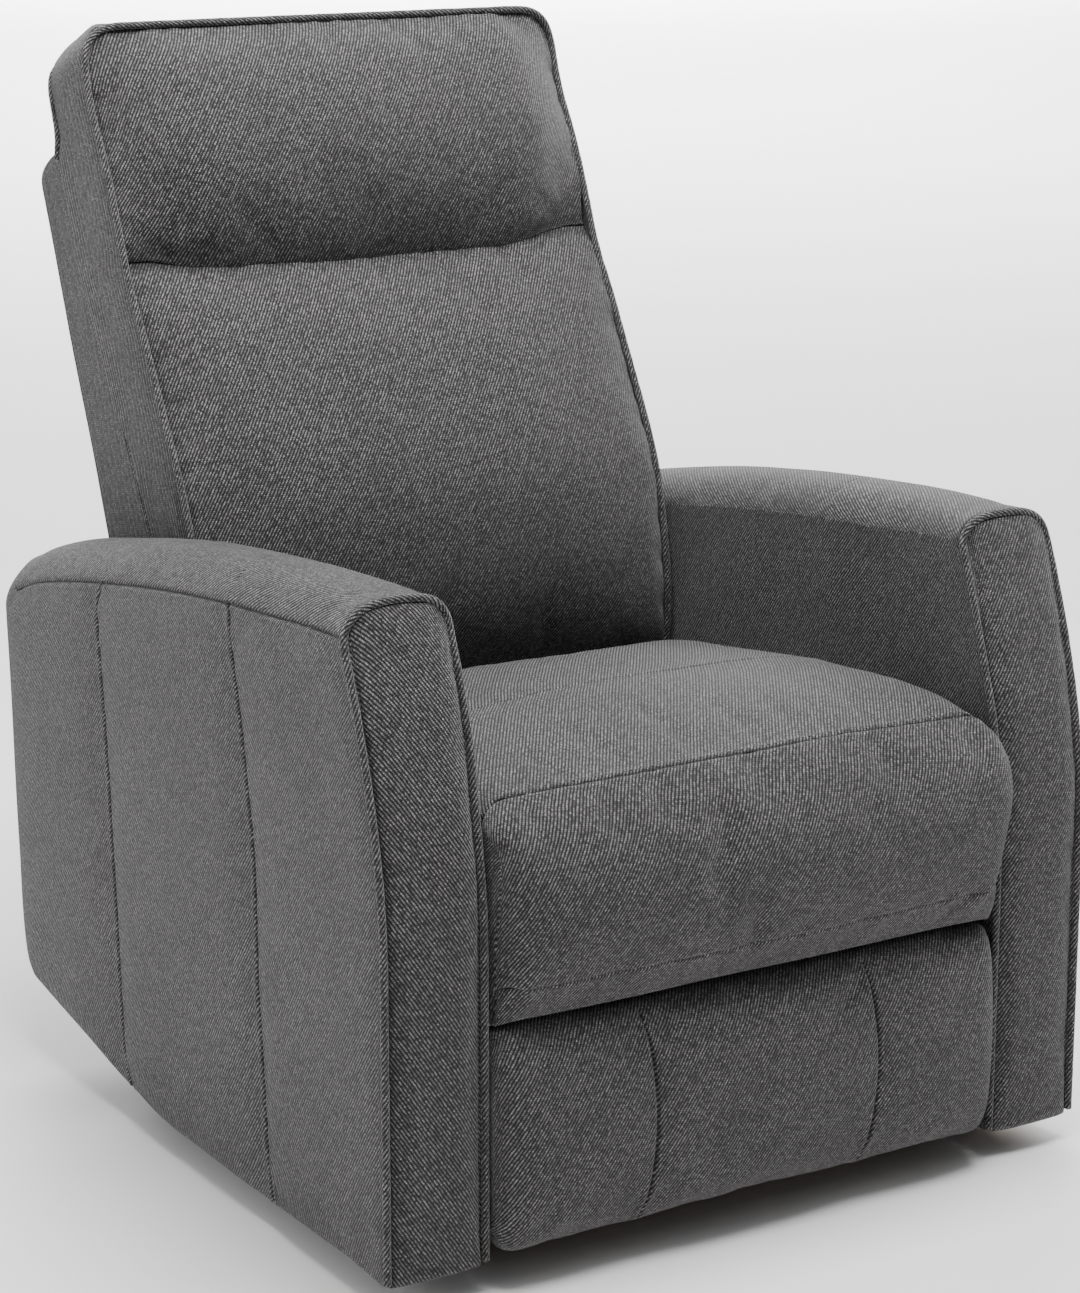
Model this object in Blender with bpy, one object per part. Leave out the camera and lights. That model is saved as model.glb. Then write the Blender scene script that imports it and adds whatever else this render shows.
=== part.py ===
"""Push-back recliner armchair with two slim arms, a boxed back and a fold-out footrest.

The front of the chair faces -Y and +Z is up. Every outline is written as (depth, height):
depth is measured backwards from the plane of the arm fronts, height from the floor.
The back is drawn in its own leaning frame, where depth runs out of its rear face and
height runs up along it from the hinge.
"""

import math
from collections import namedtuple

import bmesh
import bpy

# Driving dimensions, metres and degrees
ARM_FRONT_Y = -0.4370
CHAIR_HALF_WIDTH = 0.380
ARM_INNER = 0.284
FIT_GAP = 0.0004
FABRIC_SHELL = 0.012

ARM_BOTTOM = 0.027
ARM_FRONT_TOP = 0.622
ARM_RAKE_START = 0.340
ARM_RAKE_DEPTH = 0.065
ARM_RAKE_CURVE = 1.6
FRONT_PANEL_THICK = 0.012
ARM_BOARD_THICK = 0.015
REAR_PANEL_BOX = (0.750, 0.764, 0.110, 0.360)
FRONT_RAIL_BOX = (0.300, 0.325, 0.040, 0.100)
REAR_RAIL_BOX = (0.638, 0.662, 0.045, 0.105)
FRONT_FOOT = (0.330, 0.085)
FRONT_FOOT_RADIUS = 0.018
REAR_FOOT = (0.240, 0.650)
REAR_FOOT_RADIUS = 0.020

SEAT_HALF_WIDTH = 0.2785
BACK_HALF_WIDTH = 0.2785
BACK_LEAN = 21.5
BACK_HINGE = (0.600, 0.300)
BACK_FRAME_TOP = 0.690
BACK_FRAME_REAR = 0.065
BACK_COVER_BOTTOM = 0.045
BACK_COVER_WALL = 0.010
BACK_POST_SPAN = (0.244, 0.2612)
SEAT_RAIL_LOW = 0.262
SEAT_RAIL_HIGH = 0.312
SEAT_SIDE_RAIL_WIDTH = 0.028
SPRING_RADIUS = 0.0018
SPRING_SWING = 0.024
CROSS_TUBE_SPOT = (0.420, 0.236)
CROSS_TUBE_RADIUS = 0.011

SHEET = 0.003
LAYER_PITCH = 0.006
OUTER_LAYER = 0.2835
PIN_RADIUS = 0.004
PIN_CLEARANCE = 0.0005
RIVET_HEAD_RADIUS = 0.0065
RIVET_HEAD_THICK = 0.0014
ROUND_STEPS = 12
PLATE_MARGIN = 0.014
SWING_HALF_WIDTH = 0.011
LINK_HALF_WIDTH = 0.0085
BRACKET_MARGIN = 0.010

SWING_LENGTH = 0.100
SWING_LEAN = 20.0
FRONT_SWING_FOOT = (0.320, 0.150)
REAR_SWING_FOOT = (0.500, 0.150)

LIFT_PIVOT = (0.060, 0.205)
LIFT_LENGTH = 0.148
LIFT_CLOSED_ANGLE = 242.0
GUIDE_OFFSET = (0.0383, -0.0321)
FOOTREST_PIVOT = (0.066, 0.145)
TILT_FOOT = (0.1379, 0.0607)
TILT_HEAD = (0.0816, 0.1194)
FOOTREST_HALF_WIDTH = 0.2785
FOOTREST_BOTTOM = 0.033
FOOTREST_TOP = 0.245
FOOTREST_BOARD_FRONT = 0.024
FOOTREST_BOARD_REAR = 0.036
FOOTREST_BOARD_HALF = 0.262

# Side-by-side layers of the steel mechanism, counted inwards from the arm
BASE_LAYER, SWING_LAYER, SEAT_LAYER, CARRIER_LAYER, LIFT_LAYER, TILT_LAYER, BRACKET_LAYER = range(7)

SIDES = (("left", -1), ("right", 1))

Frame = namedtuple("Frame", "empty depth height")


def clear_scene():
    for old in list(bpy.data.objects):
        bpy.data.objects.remove(old, do_unlink=True)


# Materials


def material(name, colour, roughness, metallic=0.0):
    made = bpy.data.materials.new(name)
    made.use_nodes = True
    shader = made.node_tree.nodes["Principled BSDF"]
    shader.inputs["Base Color"].default_value = (*colour, 1.0)
    shader.inputs["Roughness"].default_value = roughness
    shader.inputs["Metallic"].default_value = metallic
    made.diffuse_color = (*colour, 1.0)
    return made


def make_materials():
    return {
        "fabric": material("charcoal_fabric", (0.075, 0.075, 0.080), 0.95),
        "wood": material("frame_wood", (0.560, 0.400, 0.240), 0.70),
        "steel": material("black_steel", (0.030, 0.030, 0.032), 0.45, 0.8),
        "spring": material("spring_steel", (0.250, 0.250, 0.260), 0.35, 0.9),
        "plastic": material("black_plastic", (0.020, 0.020, 0.020), 0.55),
    }


# Reference frames: one empty for each joint axis


def joint_frame(name, depth, height, parent=None, lean=0.0):
    """An empty on the joint's axis. Its pieces are built around it."""
    empty = bpy.data.objects.new(name, None)
    empty.empty_display_size = 0.05
    bpy.context.scene.collection.objects.link(empty)
    if parent is None:
        empty.location = (0.0, ARM_FRONT_Y + depth, height)
    else:
        empty.parent = parent.empty
        empty.location = (0.0, depth - parent.depth, height - parent.height)
    empty.rotation_euler = (-math.radians(lean), 0.0, 0.0)
    if lean:
        return Frame(empty, 0.0, 0.0)
    return Frame(empty, depth, height)


# Outlines


def arc(centre, radius, start, end, steps):
    """Points on a circular arc, from start to end in degrees, counted from backwards to up."""
    points = []
    for i in range(steps + 1):
        angle = math.radians(start + (end - start) * i / steps)
        points.append((centre[0] + radius * math.cos(angle), centre[1] + radius * math.sin(angle)))
    return points


def hull(points):
    """The convex outline around the points, anticlockwise."""
    ordered = sorted(set(points))

    def half(sequence):
        chain = []
        for point in sequence:
            while len(chain) > 1 and turn(chain[-2], chain[-1], point) <= 1e-12:
                chain.pop()
            chain.append(point)
        return chain[:-1]

    return half(ordered) + half(reversed(ordered))


def turn(a, b, c):
    return (b[0] - a[0]) * (c[1] - a[1]) - (b[1] - a[1]) * (c[0] - a[0])


def plate_outline(pivots, radius, corners=()):
    """The outline of a flat bar or plate that wraps a round end about each pivot."""
    points = list(corners)
    for pivot in pivots:
        points += arc(pivot, radius, 0.0, 360.0 - 360.0 / ROUND_STEPS, ROUND_STEPS - 1)
    return hull(points)


def offset_outline(outline, distance):
    """The outline moved inwards by distance, or outwards when it is negative."""
    moved = []
    for i, point in enumerate(outline):
        normal = outline_normal(outline, i)
        moved.append((point[0] - normal[0] * distance, point[1] - normal[1] * distance))
    return moved


def outline_normal(outline, i):
    """The outward normal of an anticlockwise outline at point i, lengthened at a corner."""
    before = outline[i - 1]
    here = outline[i]
    after = outline[(i + 1) % len(outline)]
    first = edge_normal(before, here)
    second = edge_normal(here, after)
    total = (first[0] + second[0], first[1] + second[1])
    square = total[0] ** 2 + total[1] ** 2
    scale = 2.0 / max(square, 0.8)
    return (total[0] * scale, total[1] * scale)


def edge_normal(a, b):
    length = math.hypot(b[0] - a[0], b[1] - a[1])
    return ((b[1] - a[1]) / length, (a[0] - b[0]) / length)


# Meshes


def add_object(name, mesh, frame, finish):
    mesh.materials.append(finish)
    made = bpy.data.objects.new(name, mesh)
    bpy.context.scene.collection.objects.link(made)
    made.parent = frame.empty
    return made


def finish_mesh(shape, name, smooth_angle=None):
    bmesh.ops.recalc_face_normals(shape, faces=shape.faces)
    mesh = bpy.data.meshes.new(name)
    shape.to_mesh(mesh)
    shape.free()
    if smooth_angle is not None:
        mesh.shade_smooth()
        mesh.set_sharp_from_angle(angle=math.radians(smooth_angle))
    return mesh


def stations_mesh(name, stations, smooth_angle=None):
    """A closed mesh through outlines of equal length, each given as (x, outline)."""
    shape = bmesh.new()
    rings = []
    for x, outline in stations:
        rings.append([shape.verts.new((x, depth, height)) for depth, height in outline])
    count = len(rings[0])
    for near, far in zip(rings, rings[1:]):
        for i in range(count):
            shape.faces.new((near[i], near[(i + 1) % count], far[(i + 1) % count], far[i]))
    shape.faces.new(rings[0])
    shape.faces.new(rings[-1])
    return finish_mesh(shape, name, smooth_angle)


def local(frame, outline):
    return [(depth - frame.depth, height - frame.height) for depth, height in outline]


def prism(name, frame, outline, x_low, x_high, finish, smooth_angle=None):
    points = local(frame, outline)
    stations = [(x_low, points), (x_high, points)]
    return add_object(name, stations_mesh(name, stations, smooth_angle), frame, finish)


def cushion(name, frame, outline, crowns, half_width, finish, corner=0.010, centre=0.0):
    """A stuffed block: its outline swells by its crowns at mid-width and rounds off at the ends."""
    points = local(frame, outline)
    normals = [outline_normal(points, i) for i in range(len(points))]
    stations = []
    for share in (-1.0, -0.93, -0.55, 0.0, 0.55, 0.93, 1.0):
        swell = 1.0 - share * share
        pull = corner if abs(share) == 1.0 else 0.0
        ring = []
        for point, normal, crown in zip(points, normals, crowns):
            length = math.hypot(*normal)
            move = (crown * swell - pull) / length
            ring.append((point[0] + normal[0] * move, point[1] + normal[1] * move))
        stations.append((centre + share * half_width, ring))
    return add_object(name, stations_mesh(name, stations, 40.0), frame, finish)


def turned_mesh(name, profile):
    """A solid turned about X from (x, radius) pairs, closed by flat ends."""
    shape = bmesh.new()
    rings = []
    for x, radius in profile:
        ring = []
        for i in range(ROUND_STEPS):
            angle = 2.0 * math.pi * i / ROUND_STEPS
            ring.append(shape.verts.new((x, radius * math.cos(angle), radius * math.sin(angle))))
        rings.append(ring)
    for near, far in zip(rings, rings[1:]):
        for i in range(ROUND_STEPS):
            j = (i + 1) % ROUND_STEPS
            shape.faces.new((near[i], near[j], far[j], far[i]))
    shape.faces.new(rings[0])
    shape.faces.new(rings[-1])
    return finish_mesh(shape, name, 40.0)


def tool(name, mesh, frame, spot):
    """A hidden shape that a Boolean adds to a piece or cuts from it."""
    made = bpy.data.objects.new(name, mesh)
    bpy.context.scene.collection.objects.link(made)
    made.parent = frame.empty
    made.location = (0.0, spot[0] - frame.depth, spot[1] - frame.height)
    made.hide_render = True
    made.display_type = "WIRE"
    return made


def combine(piece, other, operation):
    step = piece.modifiers.new(other.name, "BOOLEAN")
    step.operation = operation
    step.solver = "EXACT"
    step.object = other


def layer_span(layer, side):
    """Lowest and highest x of a sheet in a layer of the mechanism."""
    outer = OUTER_LAYER - layer * LAYER_PITCH
    ends = (side * outer, side * (outer - SHEET))
    return min(ends), max(ends)


def drill(piece, frame, spot, layer, side):
    """A pivot hole through a sheet."""
    low, high = layer_span(layer, side)
    radius = PIN_RADIUS + PIN_CLEARANCE
    name = f"{piece.name}_hole_{len(piece.modifiers)}"
    mesh = turned_mesh(name, [(low - SHEET, radius), (high + SHEET, radius)])
    combine(piece, tool(name, mesh, frame, spot), "DIFFERENCE")


def rivet(piece, frame, spot, layer, far_layer, side):
    """A pivot pin from a sheet through the sheet in far_layer, with a head beyond it."""
    start = OUTER_LAYER - layer * LAYER_PITCH - SHEET / 2.0
    inwards = 1.0 if far_layer > layer else -1.0
    far_face = OUTER_LAYER - far_layer * LAYER_PITCH - (SHEET if inwards > 0 else 0.0)
    under_head = far_face - inwards * FIT_GAP
    head_end = under_head - inwards * RIVET_HEAD_THICK
    profile = [
        (side * start, PIN_RADIUS),
        (side * under_head, PIN_RADIUS),
        (side * under_head, RIVET_HEAD_RADIUS),
        (side * head_end, RIVET_HEAD_RADIUS),
    ]
    name = f"{piece.name}_pin_{len(piece.modifiers)}"
    combine(piece, tool(name, turned_mesh(name, profile), frame, spot), "UNION")


def sheet_part(name, frame, outline, layer, side, finish):
    low, high = layer_span(layer, side)
    return prism(name, frame, outline, low, high, finish)


def wire(name, frame, points, radius, finish):
    """A round wire through points given as (x, depth, height)."""
    curve = bpy.data.curves.new(name, "CURVE")
    curve.dimensions = "3D"
    curve.bevel_depth = radius
    curve.bevel_resolution = 1
    curve.use_fill_caps = True
    line = curve.splines.new("POLY")
    line.points.add(len(points) - 1)
    for point, (x, depth, height) in zip(line.points, points):
        point.co = (x, depth - frame.depth, height - frame.height, 1.0)
    curve.materials.append(finish)
    made = bpy.data.objects.new(name, curve)
    bpy.context.scene.collection.objects.link(made)
    made.parent = frame.empty
    return made


def sinuous_points(x, start, end, waves, swing, arch):
    """A serpentine spring from start to end, bowed by arch. Each wave has two flat-sided loops."""
    steps = waves * 6
    points = []
    for i in range(steps + 1):
        share = i / steps
        wave = math.sin(2.0 * math.pi * waves * share)
        side = swing * math.copysign(abs(wave) ** 0.6, wave)
        depth = start[0] + (end[0] - start[0]) * share
        height = start[1] + (end[1] - start[1]) * share
        bow = arch * math.sin(math.pi * share)
        along = math.atan2(end[1] - start[1], end[0] - start[0])
        points.append((x + side, depth - bow * math.sin(along), height + bow * math.cos(along)))
    return points


# Arms


def front_face_depth(height):
    """Depth of the arm's front face: upright low down, then raked back in a smooth curve."""
    share = max(0.0, height - ARM_RAKE_START) / (ARM_FRONT_TOP - ARM_RAKE_START)
    return ARM_RAKE_DEPTH * share**ARM_RAKE_CURVE


def front_curve(offset):
    """The arm's front face from its top to its bottom, moved backwards by offset."""
    rise = ARM_FRONT_TOP - ARM_RAKE_START
    heights = [ARM_FRONT_TOP - rise * i / 6 for i in range(7)]
    points = [(front_face_depth(height) + offset, height) for height in heights]
    return points + [(offset, ARM_BOTTOM)]


def arm_outline(offset):
    """The arm seen from the side, anticlockwise from its front bottom corner."""
    bottom = [(0.400, 0.027), (0.520, 0.038), (0.630, 0.060), (0.757, 0.084)]
    rear = [(0.772, 0.098), (0.782, 0.200), (0.794, 0.470)]
    top_rear = [(0.790, 0.500), (0.765, 0.524)]
    top = [(0.700, 0.546), (0.570, 0.572), (0.430, 0.594), (0.300, 0.608), (0.166, 0.618)]
    return bottom + rear + top_rear + top + front_curve(offset)


def build_arm(base, finishes, name, side):
    fabric, wood = finishes["fabric"], finishes["wood"]
    inner, outer = side * ARM_INNER, side * CHAIR_HALF_WIDTH
    low, high = min(inner, outer), max(inner, outer)
    shell = arm_outline(FRONT_PANEL_THICK + FIT_GAP)
    cover = prism(f"{name}_arm_cover", base, shell, low, high, fabric, 30.0)

    room = offset_outline(shell, FABRIC_SHELL)
    deep = [(depth, height - 0.060 if height < 0.120 else height) for depth, height in room]
    span = [(low + FABRIC_SHELL, local(base, deep)), (high - FABRIC_SHELL, local(base, deep))]
    hollow = tool(f"{name}_arm_hollow", stations_mesh("arm_hollow", span), base, (0.0, 0.0))
    combine(cover, hollow, "DIFFERENCE")

    panel = front_curve(0.0) + list(reversed(front_curve(FRONT_PANEL_THICK)))
    crowns = [0.0] * len(panel)
    cushion(
        f"{name}_arm_front_panel", base, panel, crowns, (high - low) / 2.0, fabric, 0.003,
        (low + high) / 2.0,
    )

    lining = FABRIC_SHELL + PIN_CLEARANCE
    board_low = ARM_INNER + lining
    board_span = sorted((side * board_low, side * (board_low + ARM_BOARD_THICK)))
    rail_box = (0.026, 0.430, ARM_BOTTOM + PIN_CLEARANCE, ARM_BOTTOM + 0.0245)
    board = offset_outline(shell, FABRIC_SHELL + 0.002)
    lifted = [(depth, max(height, rail_box[3] + PIN_CLEARANCE)) for depth, height in board]
    prism(f"{name}_arm_frame", base, lifted, *board_span, wood)
    rail_span = sorted((side * board_low, side * (CHAIR_HALF_WIDTH - lining)))
    prism(f"{name}_arm_base_rail", base, box_outline(*rail_box), *rail_span, wood)


# Base between the arms


def upright_disc(name, frame, centre, radius, low, high, finish):
    """A foot: a short upright cylinder with a chamfered lower rim."""
    shape = bmesh.new()
    rings = []
    for height, size in ((low, radius - 0.003), (low + 0.004, radius), (high, radius)):
        ring = []
        for i in range(ROUND_STEPS * 2):
            angle = math.pi * i / ROUND_STEPS
            spot = (size * math.cos(angle), size * math.sin(angle), height - low)
            ring.append(shape.verts.new(spot))
        rings.append(ring)
    count = len(rings[0])
    for near, far in zip(rings, rings[1:]):
        for i in range(count):
            shape.faces.new((near[i], near[(i + 1) % count], far[(i + 1) % count], far[i]))
    shape.faces.new(rings[0])
    shape.faces.new(rings[-1])
    made = add_object(name, finish_mesh(shape, name, 40.0), frame, finish)
    made.location = (centre[0], centre[1] - frame.depth, low - frame.height)
    return made


def box_outline(depth_low, depth_high, height_low, height_high):
    return [
        (depth_low, height_low),
        (depth_high, height_low),
        (depth_high, height_high),
        (depth_low, height_high),
    ]


def build_base(base, finishes):
    wood, steel, plastic = finishes["wood"], finishes["steel"], finishes["plastic"]
    reach = OUTER_LAYER - SHEET - FIT_GAP
    prism("front_base_rail", base, box_outline(*FRONT_RAIL_BOX), -reach, reach, wood)
    prism("rear_base_rail", base, box_outline(*REAR_RAIL_BOX), -reach, reach, wood)
    panel = box_outline(*REAR_PANEL_BOX)
    crowns = [0.0, 0.004, 0.004, 0.0]
    cushion("rear_base_panel", base, panel, crowns, ARM_INNER - FIT_GAP, finishes["fabric"], 0.003)
    for name, side in SIDES:
        build_arm(base, finishes, name, side)
        spot = (side * FRONT_FOOT[0], FRONT_FOOT[1])
        upright_disc(
            f"front_{name}_foot", base, spot, FRONT_FOOT_RADIUS, 0.0, ARM_BOTTOM, plastic
        )
        spot = (side * REAR_FOOT[0], REAR_FOOT[1])
        foot_top = REAR_RAIL_BOX[2] - FIT_GAP
        upright_disc(f"rear_{name}_foot", base, spot, REAR_FOOT_RADIUS, 0.0, foot_top, plastic)
        corners = ((0.302, 0.045), (0.655, 0.050), (0.655, 0.100))
        outline = plate_outline((FRONT_SWING_FOOT, REAR_SWING_FOOT), PLATE_MARGIN, corners)
        plate = sheet_part(f"{name}_base_plate", base, outline, BASE_LAYER, side, steel)
        rivet(plate, base, FRONT_SWING_FOOT, BASE_LAYER, SWING_LAYER, side)
        rivet(plate, base, REAR_SWING_FOOT, BASE_LAYER, SWING_LAYER, side)


# Seat carriage on its four swing links


def swing_head(foot):
    lean = math.radians(SWING_LEAN)
    return (foot[0] + SWING_LENGTH * math.sin(lean), foot[1] + SWING_LENGTH * math.cos(lean))


def build_swing_links(frame, finishes, name, foot):
    outline = plate_outline((foot, swing_head(foot)), SWING_HALF_WIDTH)
    for side_name, side in SIDES:
        full_name = f"{name}_{side_name}_swing_link"
        link = sheet_part(full_name, frame, outline, SWING_LAYER, side, finishes["steel"])
        drill(link, frame, foot, SWING_LAYER, side)
        drill(link, frame, swing_head(foot), SWING_LAYER, side)


def guide_pivot(lift_pivot):
    return (lift_pivot[0] + GUIDE_OFFSET[0], lift_pivot[1] + GUIDE_OFFSET[1])


def build_seat_plates(seat, finishes):
    fronts = (LIFT_PIVOT, guide_pivot(LIFT_PIVOT))
    heads = (swing_head(FRONT_SWING_FOOT), swing_head(REAR_SWING_FOOT))
    corners = ((0.056, 0.300),)
    for name, side in SIDES:
        outline = plate_outline((*fronts, *heads, BACK_HINGE), PLATE_MARGIN, corners)
        plate = sheet_part(f"{name}_seat_plate", seat, outline, SEAT_LAYER, side, finishes["steel"])
        drill(plate, seat, BACK_HINGE, SEAT_LAYER, side)
        for spot in heads:
            rivet(plate, seat, spot, SEAT_LAYER, SWING_LAYER, side)
        for spot in fronts:
            rivet(plate, seat, spot, SEAT_LAYER, LIFT_LAYER, side)


def build_seat_frame(seat, finishes):
    wood = finishes["wood"]
    reach = OUTER_LAYER - SEAT_LAYER * LAYER_PITCH - SHEET - FIT_GAP
    low, high = SEAT_RAIL_LOW, SEAT_RAIL_HIGH
    front_rail, rear_rail = box_outline(0.052, 0.076, low, high), box_outline(0.518, 0.542, low, high)
    prism("seat_front_rail", seat, front_rail, -reach, reach, wood)
    prism("seat_rear_rail", seat, rear_rail, -reach, reach, wood)
    side_rail = box_outline(0.076 + FIT_GAP, 0.518 - FIT_GAP, low + 0.002, high)
    for name, side in SIDES:
        span = sorted((side * (reach - SEAT_SIDE_RAIL_WIDTH), side * reach))
        prism(f"seat_{name}_rail", seat, side_rail, *span, wood)
    tube = turned_mesh("carriage_cross_tube", [(-reach, CROSS_TUBE_RADIUS), (reach, CROSS_TUBE_RADIUS)])
    made = add_object("carriage_cross_tube", tube, seat, finishes["steel"])
    made.location = (0.0, CROSS_TUBE_SPOT[0] - seat.depth, CROSS_TUBE_SPOT[1] - seat.height)
    for i, x in enumerate((-0.165, -0.055, 0.055, 0.165)):
        points = sinuous_points(x, (0.079, 0.297), (0.515, 0.297), 6, SPRING_SWING, 0.010)
        wire(f"seat_spring_{i + 1}", seat, points, SPRING_RADIUS, finishes["spring"])


def build_seat_cushion(seat, finishes):
    under = [(0.500, 0.3150), (0.535, 0.3165)]
    rear = [(0.545, 0.335), (0.545, 0.375), (0.530, 0.402)]
    top = [(0.440, 0.417), (0.300, 0.433), (0.180, 0.448), (0.080, 0.454), (0.030, 0.449)]
    nose = [(-0.004, 0.434), (-0.021, 0.405), (-0.027, 0.366), (-0.021, 0.314), (-0.012, 0.270)]
    lip = [(-0.004, 0.250), (0.020, 0.248), (0.046, 0.252), (0.048, 0.3130), (0.070, 0.3150)]
    outline = under + rear + top + nose + lip
    swell = [0.0, 0.0, 0.0, 0.0, 0.006, 0.018, 0.022, 0.020, 0.014, 0.008]
    swell += [0.008, 0.010, 0.010, 0.008, 0.004, 0.0, 0.0, 0.0, 0.0, 0.0]
    cushion("seat_cushion", seat, outline, swell, SEAT_HALF_WIDTH, finishes["fabric"], 0.008)


# Footrest and its links


def lift_tip():
    angle = math.radians(LIFT_CLOSED_ANGLE)
    forward, up = math.cos(angle), math.sin(angle)
    return (LIFT_PIVOT[0] - LIFT_LENGTH * forward, LIFT_PIVOT[1] + LIFT_LENGTH * up)


def build_footrest_links(frames, finishes):
    steel = finishes["steel"]
    tip = lift_tip()
    guide_start, guide_tip = guide_pivot(LIFT_PIVOT), guide_pivot(tip)
    for name, side in SIDES:
        lift, guide = frames["lift"], frames["guide"]
        outline = plate_outline((LIFT_PIVOT, tip, TILT_FOOT), LINK_HALF_WIDTH)
        bar = sheet_part(f"{name}_lift_link", lift, outline, LIFT_LAYER, side, steel)
        drill(bar, lift, LIFT_PIVOT, LIFT_LAYER, side)
        drill(bar, lift, tip, LIFT_LAYER, side)
        rivet(bar, lift, TILT_FOOT, LIFT_LAYER, TILT_LAYER, side)

        outline = plate_outline((guide_start, guide_tip), LINK_HALF_WIDTH)
        bar = sheet_part(f"{name}_guide_link", guide, outline, LIFT_LAYER, side, steel)
        drill(bar, guide, guide_start, LIFT_LAYER, side)
        drill(bar, guide, guide_tip, LIFT_LAYER, side)

        carrier = frames["carrier"]
        outline = plate_outline((tip, guide_tip, FOOTREST_PIVOT), BRACKET_MARGIN)
        bar = sheet_part(f"{name}_carrier_link", carrier, outline, CARRIER_LAYER, side, steel)
        drill(bar, carrier, FOOTREST_PIVOT, CARRIER_LAYER, side)
        rivet(bar, carrier, tip, CARRIER_LAYER, LIFT_LAYER, side)
        rivet(bar, carrier, guide_tip, CARRIER_LAYER, LIFT_LAYER, side)

        tilt = frames["tilt"]
        outline = plate_outline((TILT_FOOT, TILT_HEAD), LINK_HALF_WIDTH)
        bar = sheet_part(f"{name}_tilt_link", tilt, outline, TILT_LAYER, side, steel)
        drill(bar, tilt, TILT_FOOT, TILT_LAYER, side)
        drill(bar, tilt, TILT_HEAD, TILT_LAYER, side)


def build_footrest(footrest, finishes):
    rear_face = FOOTREST_BOARD_REAR + FIT_GAP
    front_face, half = FOOTREST_BOARD_FRONT, FOOTREST_BOARD_HALF
    for name, side in SIDES:
        corners = ((rear_face, 0.112), (rear_face, 0.200))
        outline = plate_outline((FOOTREST_PIVOT, TILT_HEAD), BRACKET_MARGIN, corners)
        full_name = f"{name}_footrest_bracket"
        plate = sheet_part(full_name, footrest, outline, BRACKET_LAYER, side, finishes["steel"])
        drill(plate, footrest, TILT_HEAD, BRACKET_LAYER, side)
        rivet(plate, footrest, FOOTREST_PIVOT, BRACKET_LAYER, CARRIER_LAYER, side)
    span = (FOOTREST_BOTTOM + 0.010, FOOTREST_TOP - 0.010)
    board = box_outline(front_face, FOOTREST_BOARD_REAR, *span)
    prism("footrest_board", footrest, board, -half, half, finishes["wood"])
    pad_rear = front_face - PIN_CLEARANCE
    rear = [(pad_rear, FOOTREST_BOTTOM + 0.003), (pad_rear, FOOTREST_TOP - 0.003)]
    top = [(0.006, FOOTREST_TOP), (-0.012, 0.236)]
    front = [(-0.020, 0.210), (-0.023, 0.139), (-0.020, 0.068), (-0.012, 0.042)]
    outline = rear + top + front + [(0.006, FOOTREST_BOTTOM)]
    crowns = [0.0, 0.0, 0.0, 0.002, 0.005, 0.007, 0.005, 0.002, 0.0]
    fabric = finishes["fabric"]
    cushion("footrest_pad", footrest, outline, crowns, FOOTREST_HALF_WIDTH, fabric, 0.006)


# Back, drawn in its leaning frame as (depth, height)


def frame_front(height):
    """Depth of the back frame's front edge, which comes forward towards the lumbar part."""
    share = min(max((height - 0.250) / 0.300, 0.0), 1.0)
    return -0.045 * (1.0 - share)


def build_back_frame(back, finishes):
    wood, steel = finishes["wood"], finishes["steel"]
    heights = (0.030, 0.250, 0.550, 0.670)
    front = [(frame_front(height) + 0.004, height) for height in reversed(heights)]
    post = [(0.048, 0.030), (0.048, 0.670)] + front
    rail_reach = BACK_POST_SPAN[0] - FIT_GAP
    rails = (("lower", 0.070, 0.120), ("middle", 0.380, 0.420), ("upper", 0.620, 0.665))
    for name, side in SIDES:
        span = sorted((side * BACK_POST_SPAN[0], side * BACK_POST_SPAN[1]))
        prism(f"back_{name}_post", back, post, *span, wood)
        outline = plate_outline(((0.0, 0.0), (0.012, 0.060), (0.012, 0.150)), 0.013)
        plate = sheet_part(f"{name}_back_bracket", back, outline, CARRIER_LAYER, side, steel)
        rivet(plate, back, (0.0, 0.0), CARRIER_LAYER, SEAT_LAYER, side)
    for name, low, high in rails:
        rail = box_outline(0.016, 0.042, low, high)
        prism(f"back_{name}_rail", back, rail, -rail_reach, rail_reach, wood)
    for i, x in enumerate((-0.120, 0.0, 0.120)):
        points = sinuous_points(x, (0.010, 0.085), (0.010, 0.650), 7, SPRING_SWING, 0.0)
        wire(f"back_spring_{i + 1}", back, points, SPRING_RADIUS, finishes["spring"])


def build_back_cover(back, finishes):
    """The outside back: a fabric tray, open to the front, around the sides and top of the frame."""
    top, bottom = BACK_FRAME_TOP, BACK_COVER_BOTTOM
    heights = (bottom, 0.150, 0.250, 0.350, 0.450, 0.550, top - 0.020)
    front = [(frame_front(height), height) for height in reversed(heights)]
    lid = [(BACK_FRAME_REAR, top - 0.012), (BACK_FRAME_REAR - 0.012, top), (0.014, top)]
    flap = [(0.051, bottom), (0.052, 0.0), (BACK_FRAME_REAR - 0.004, 0.0)]
    shell = flap + [(BACK_FRAME_REAR, bottom + 0.060)] + lid + front
    crowns = [0.0, 0.0, 0.0, 0.004, 0.002, 0.0, 0.0] + [0.0] * len(front)
    cover = cushion(
        "back_outer_cover", back, shell, crowns, BACK_HALF_WIDTH, finishes["fabric"], 0.002
    )
    wall = BACK_COVER_WALL
    hollow = box_outline(-0.080, BACK_FRAME_REAR - 0.015, bottom - 0.090, top - wall)
    span = [(side * (BACK_HALF_WIDTH - wall), hollow) for side in (-1, 1)]
    cutter = tool("back_cover_hollow", stations_mesh("back_hollow", span), back, (0.0, 0.0))
    combine(cover, cutter, "DIFFERENCE")


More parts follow.
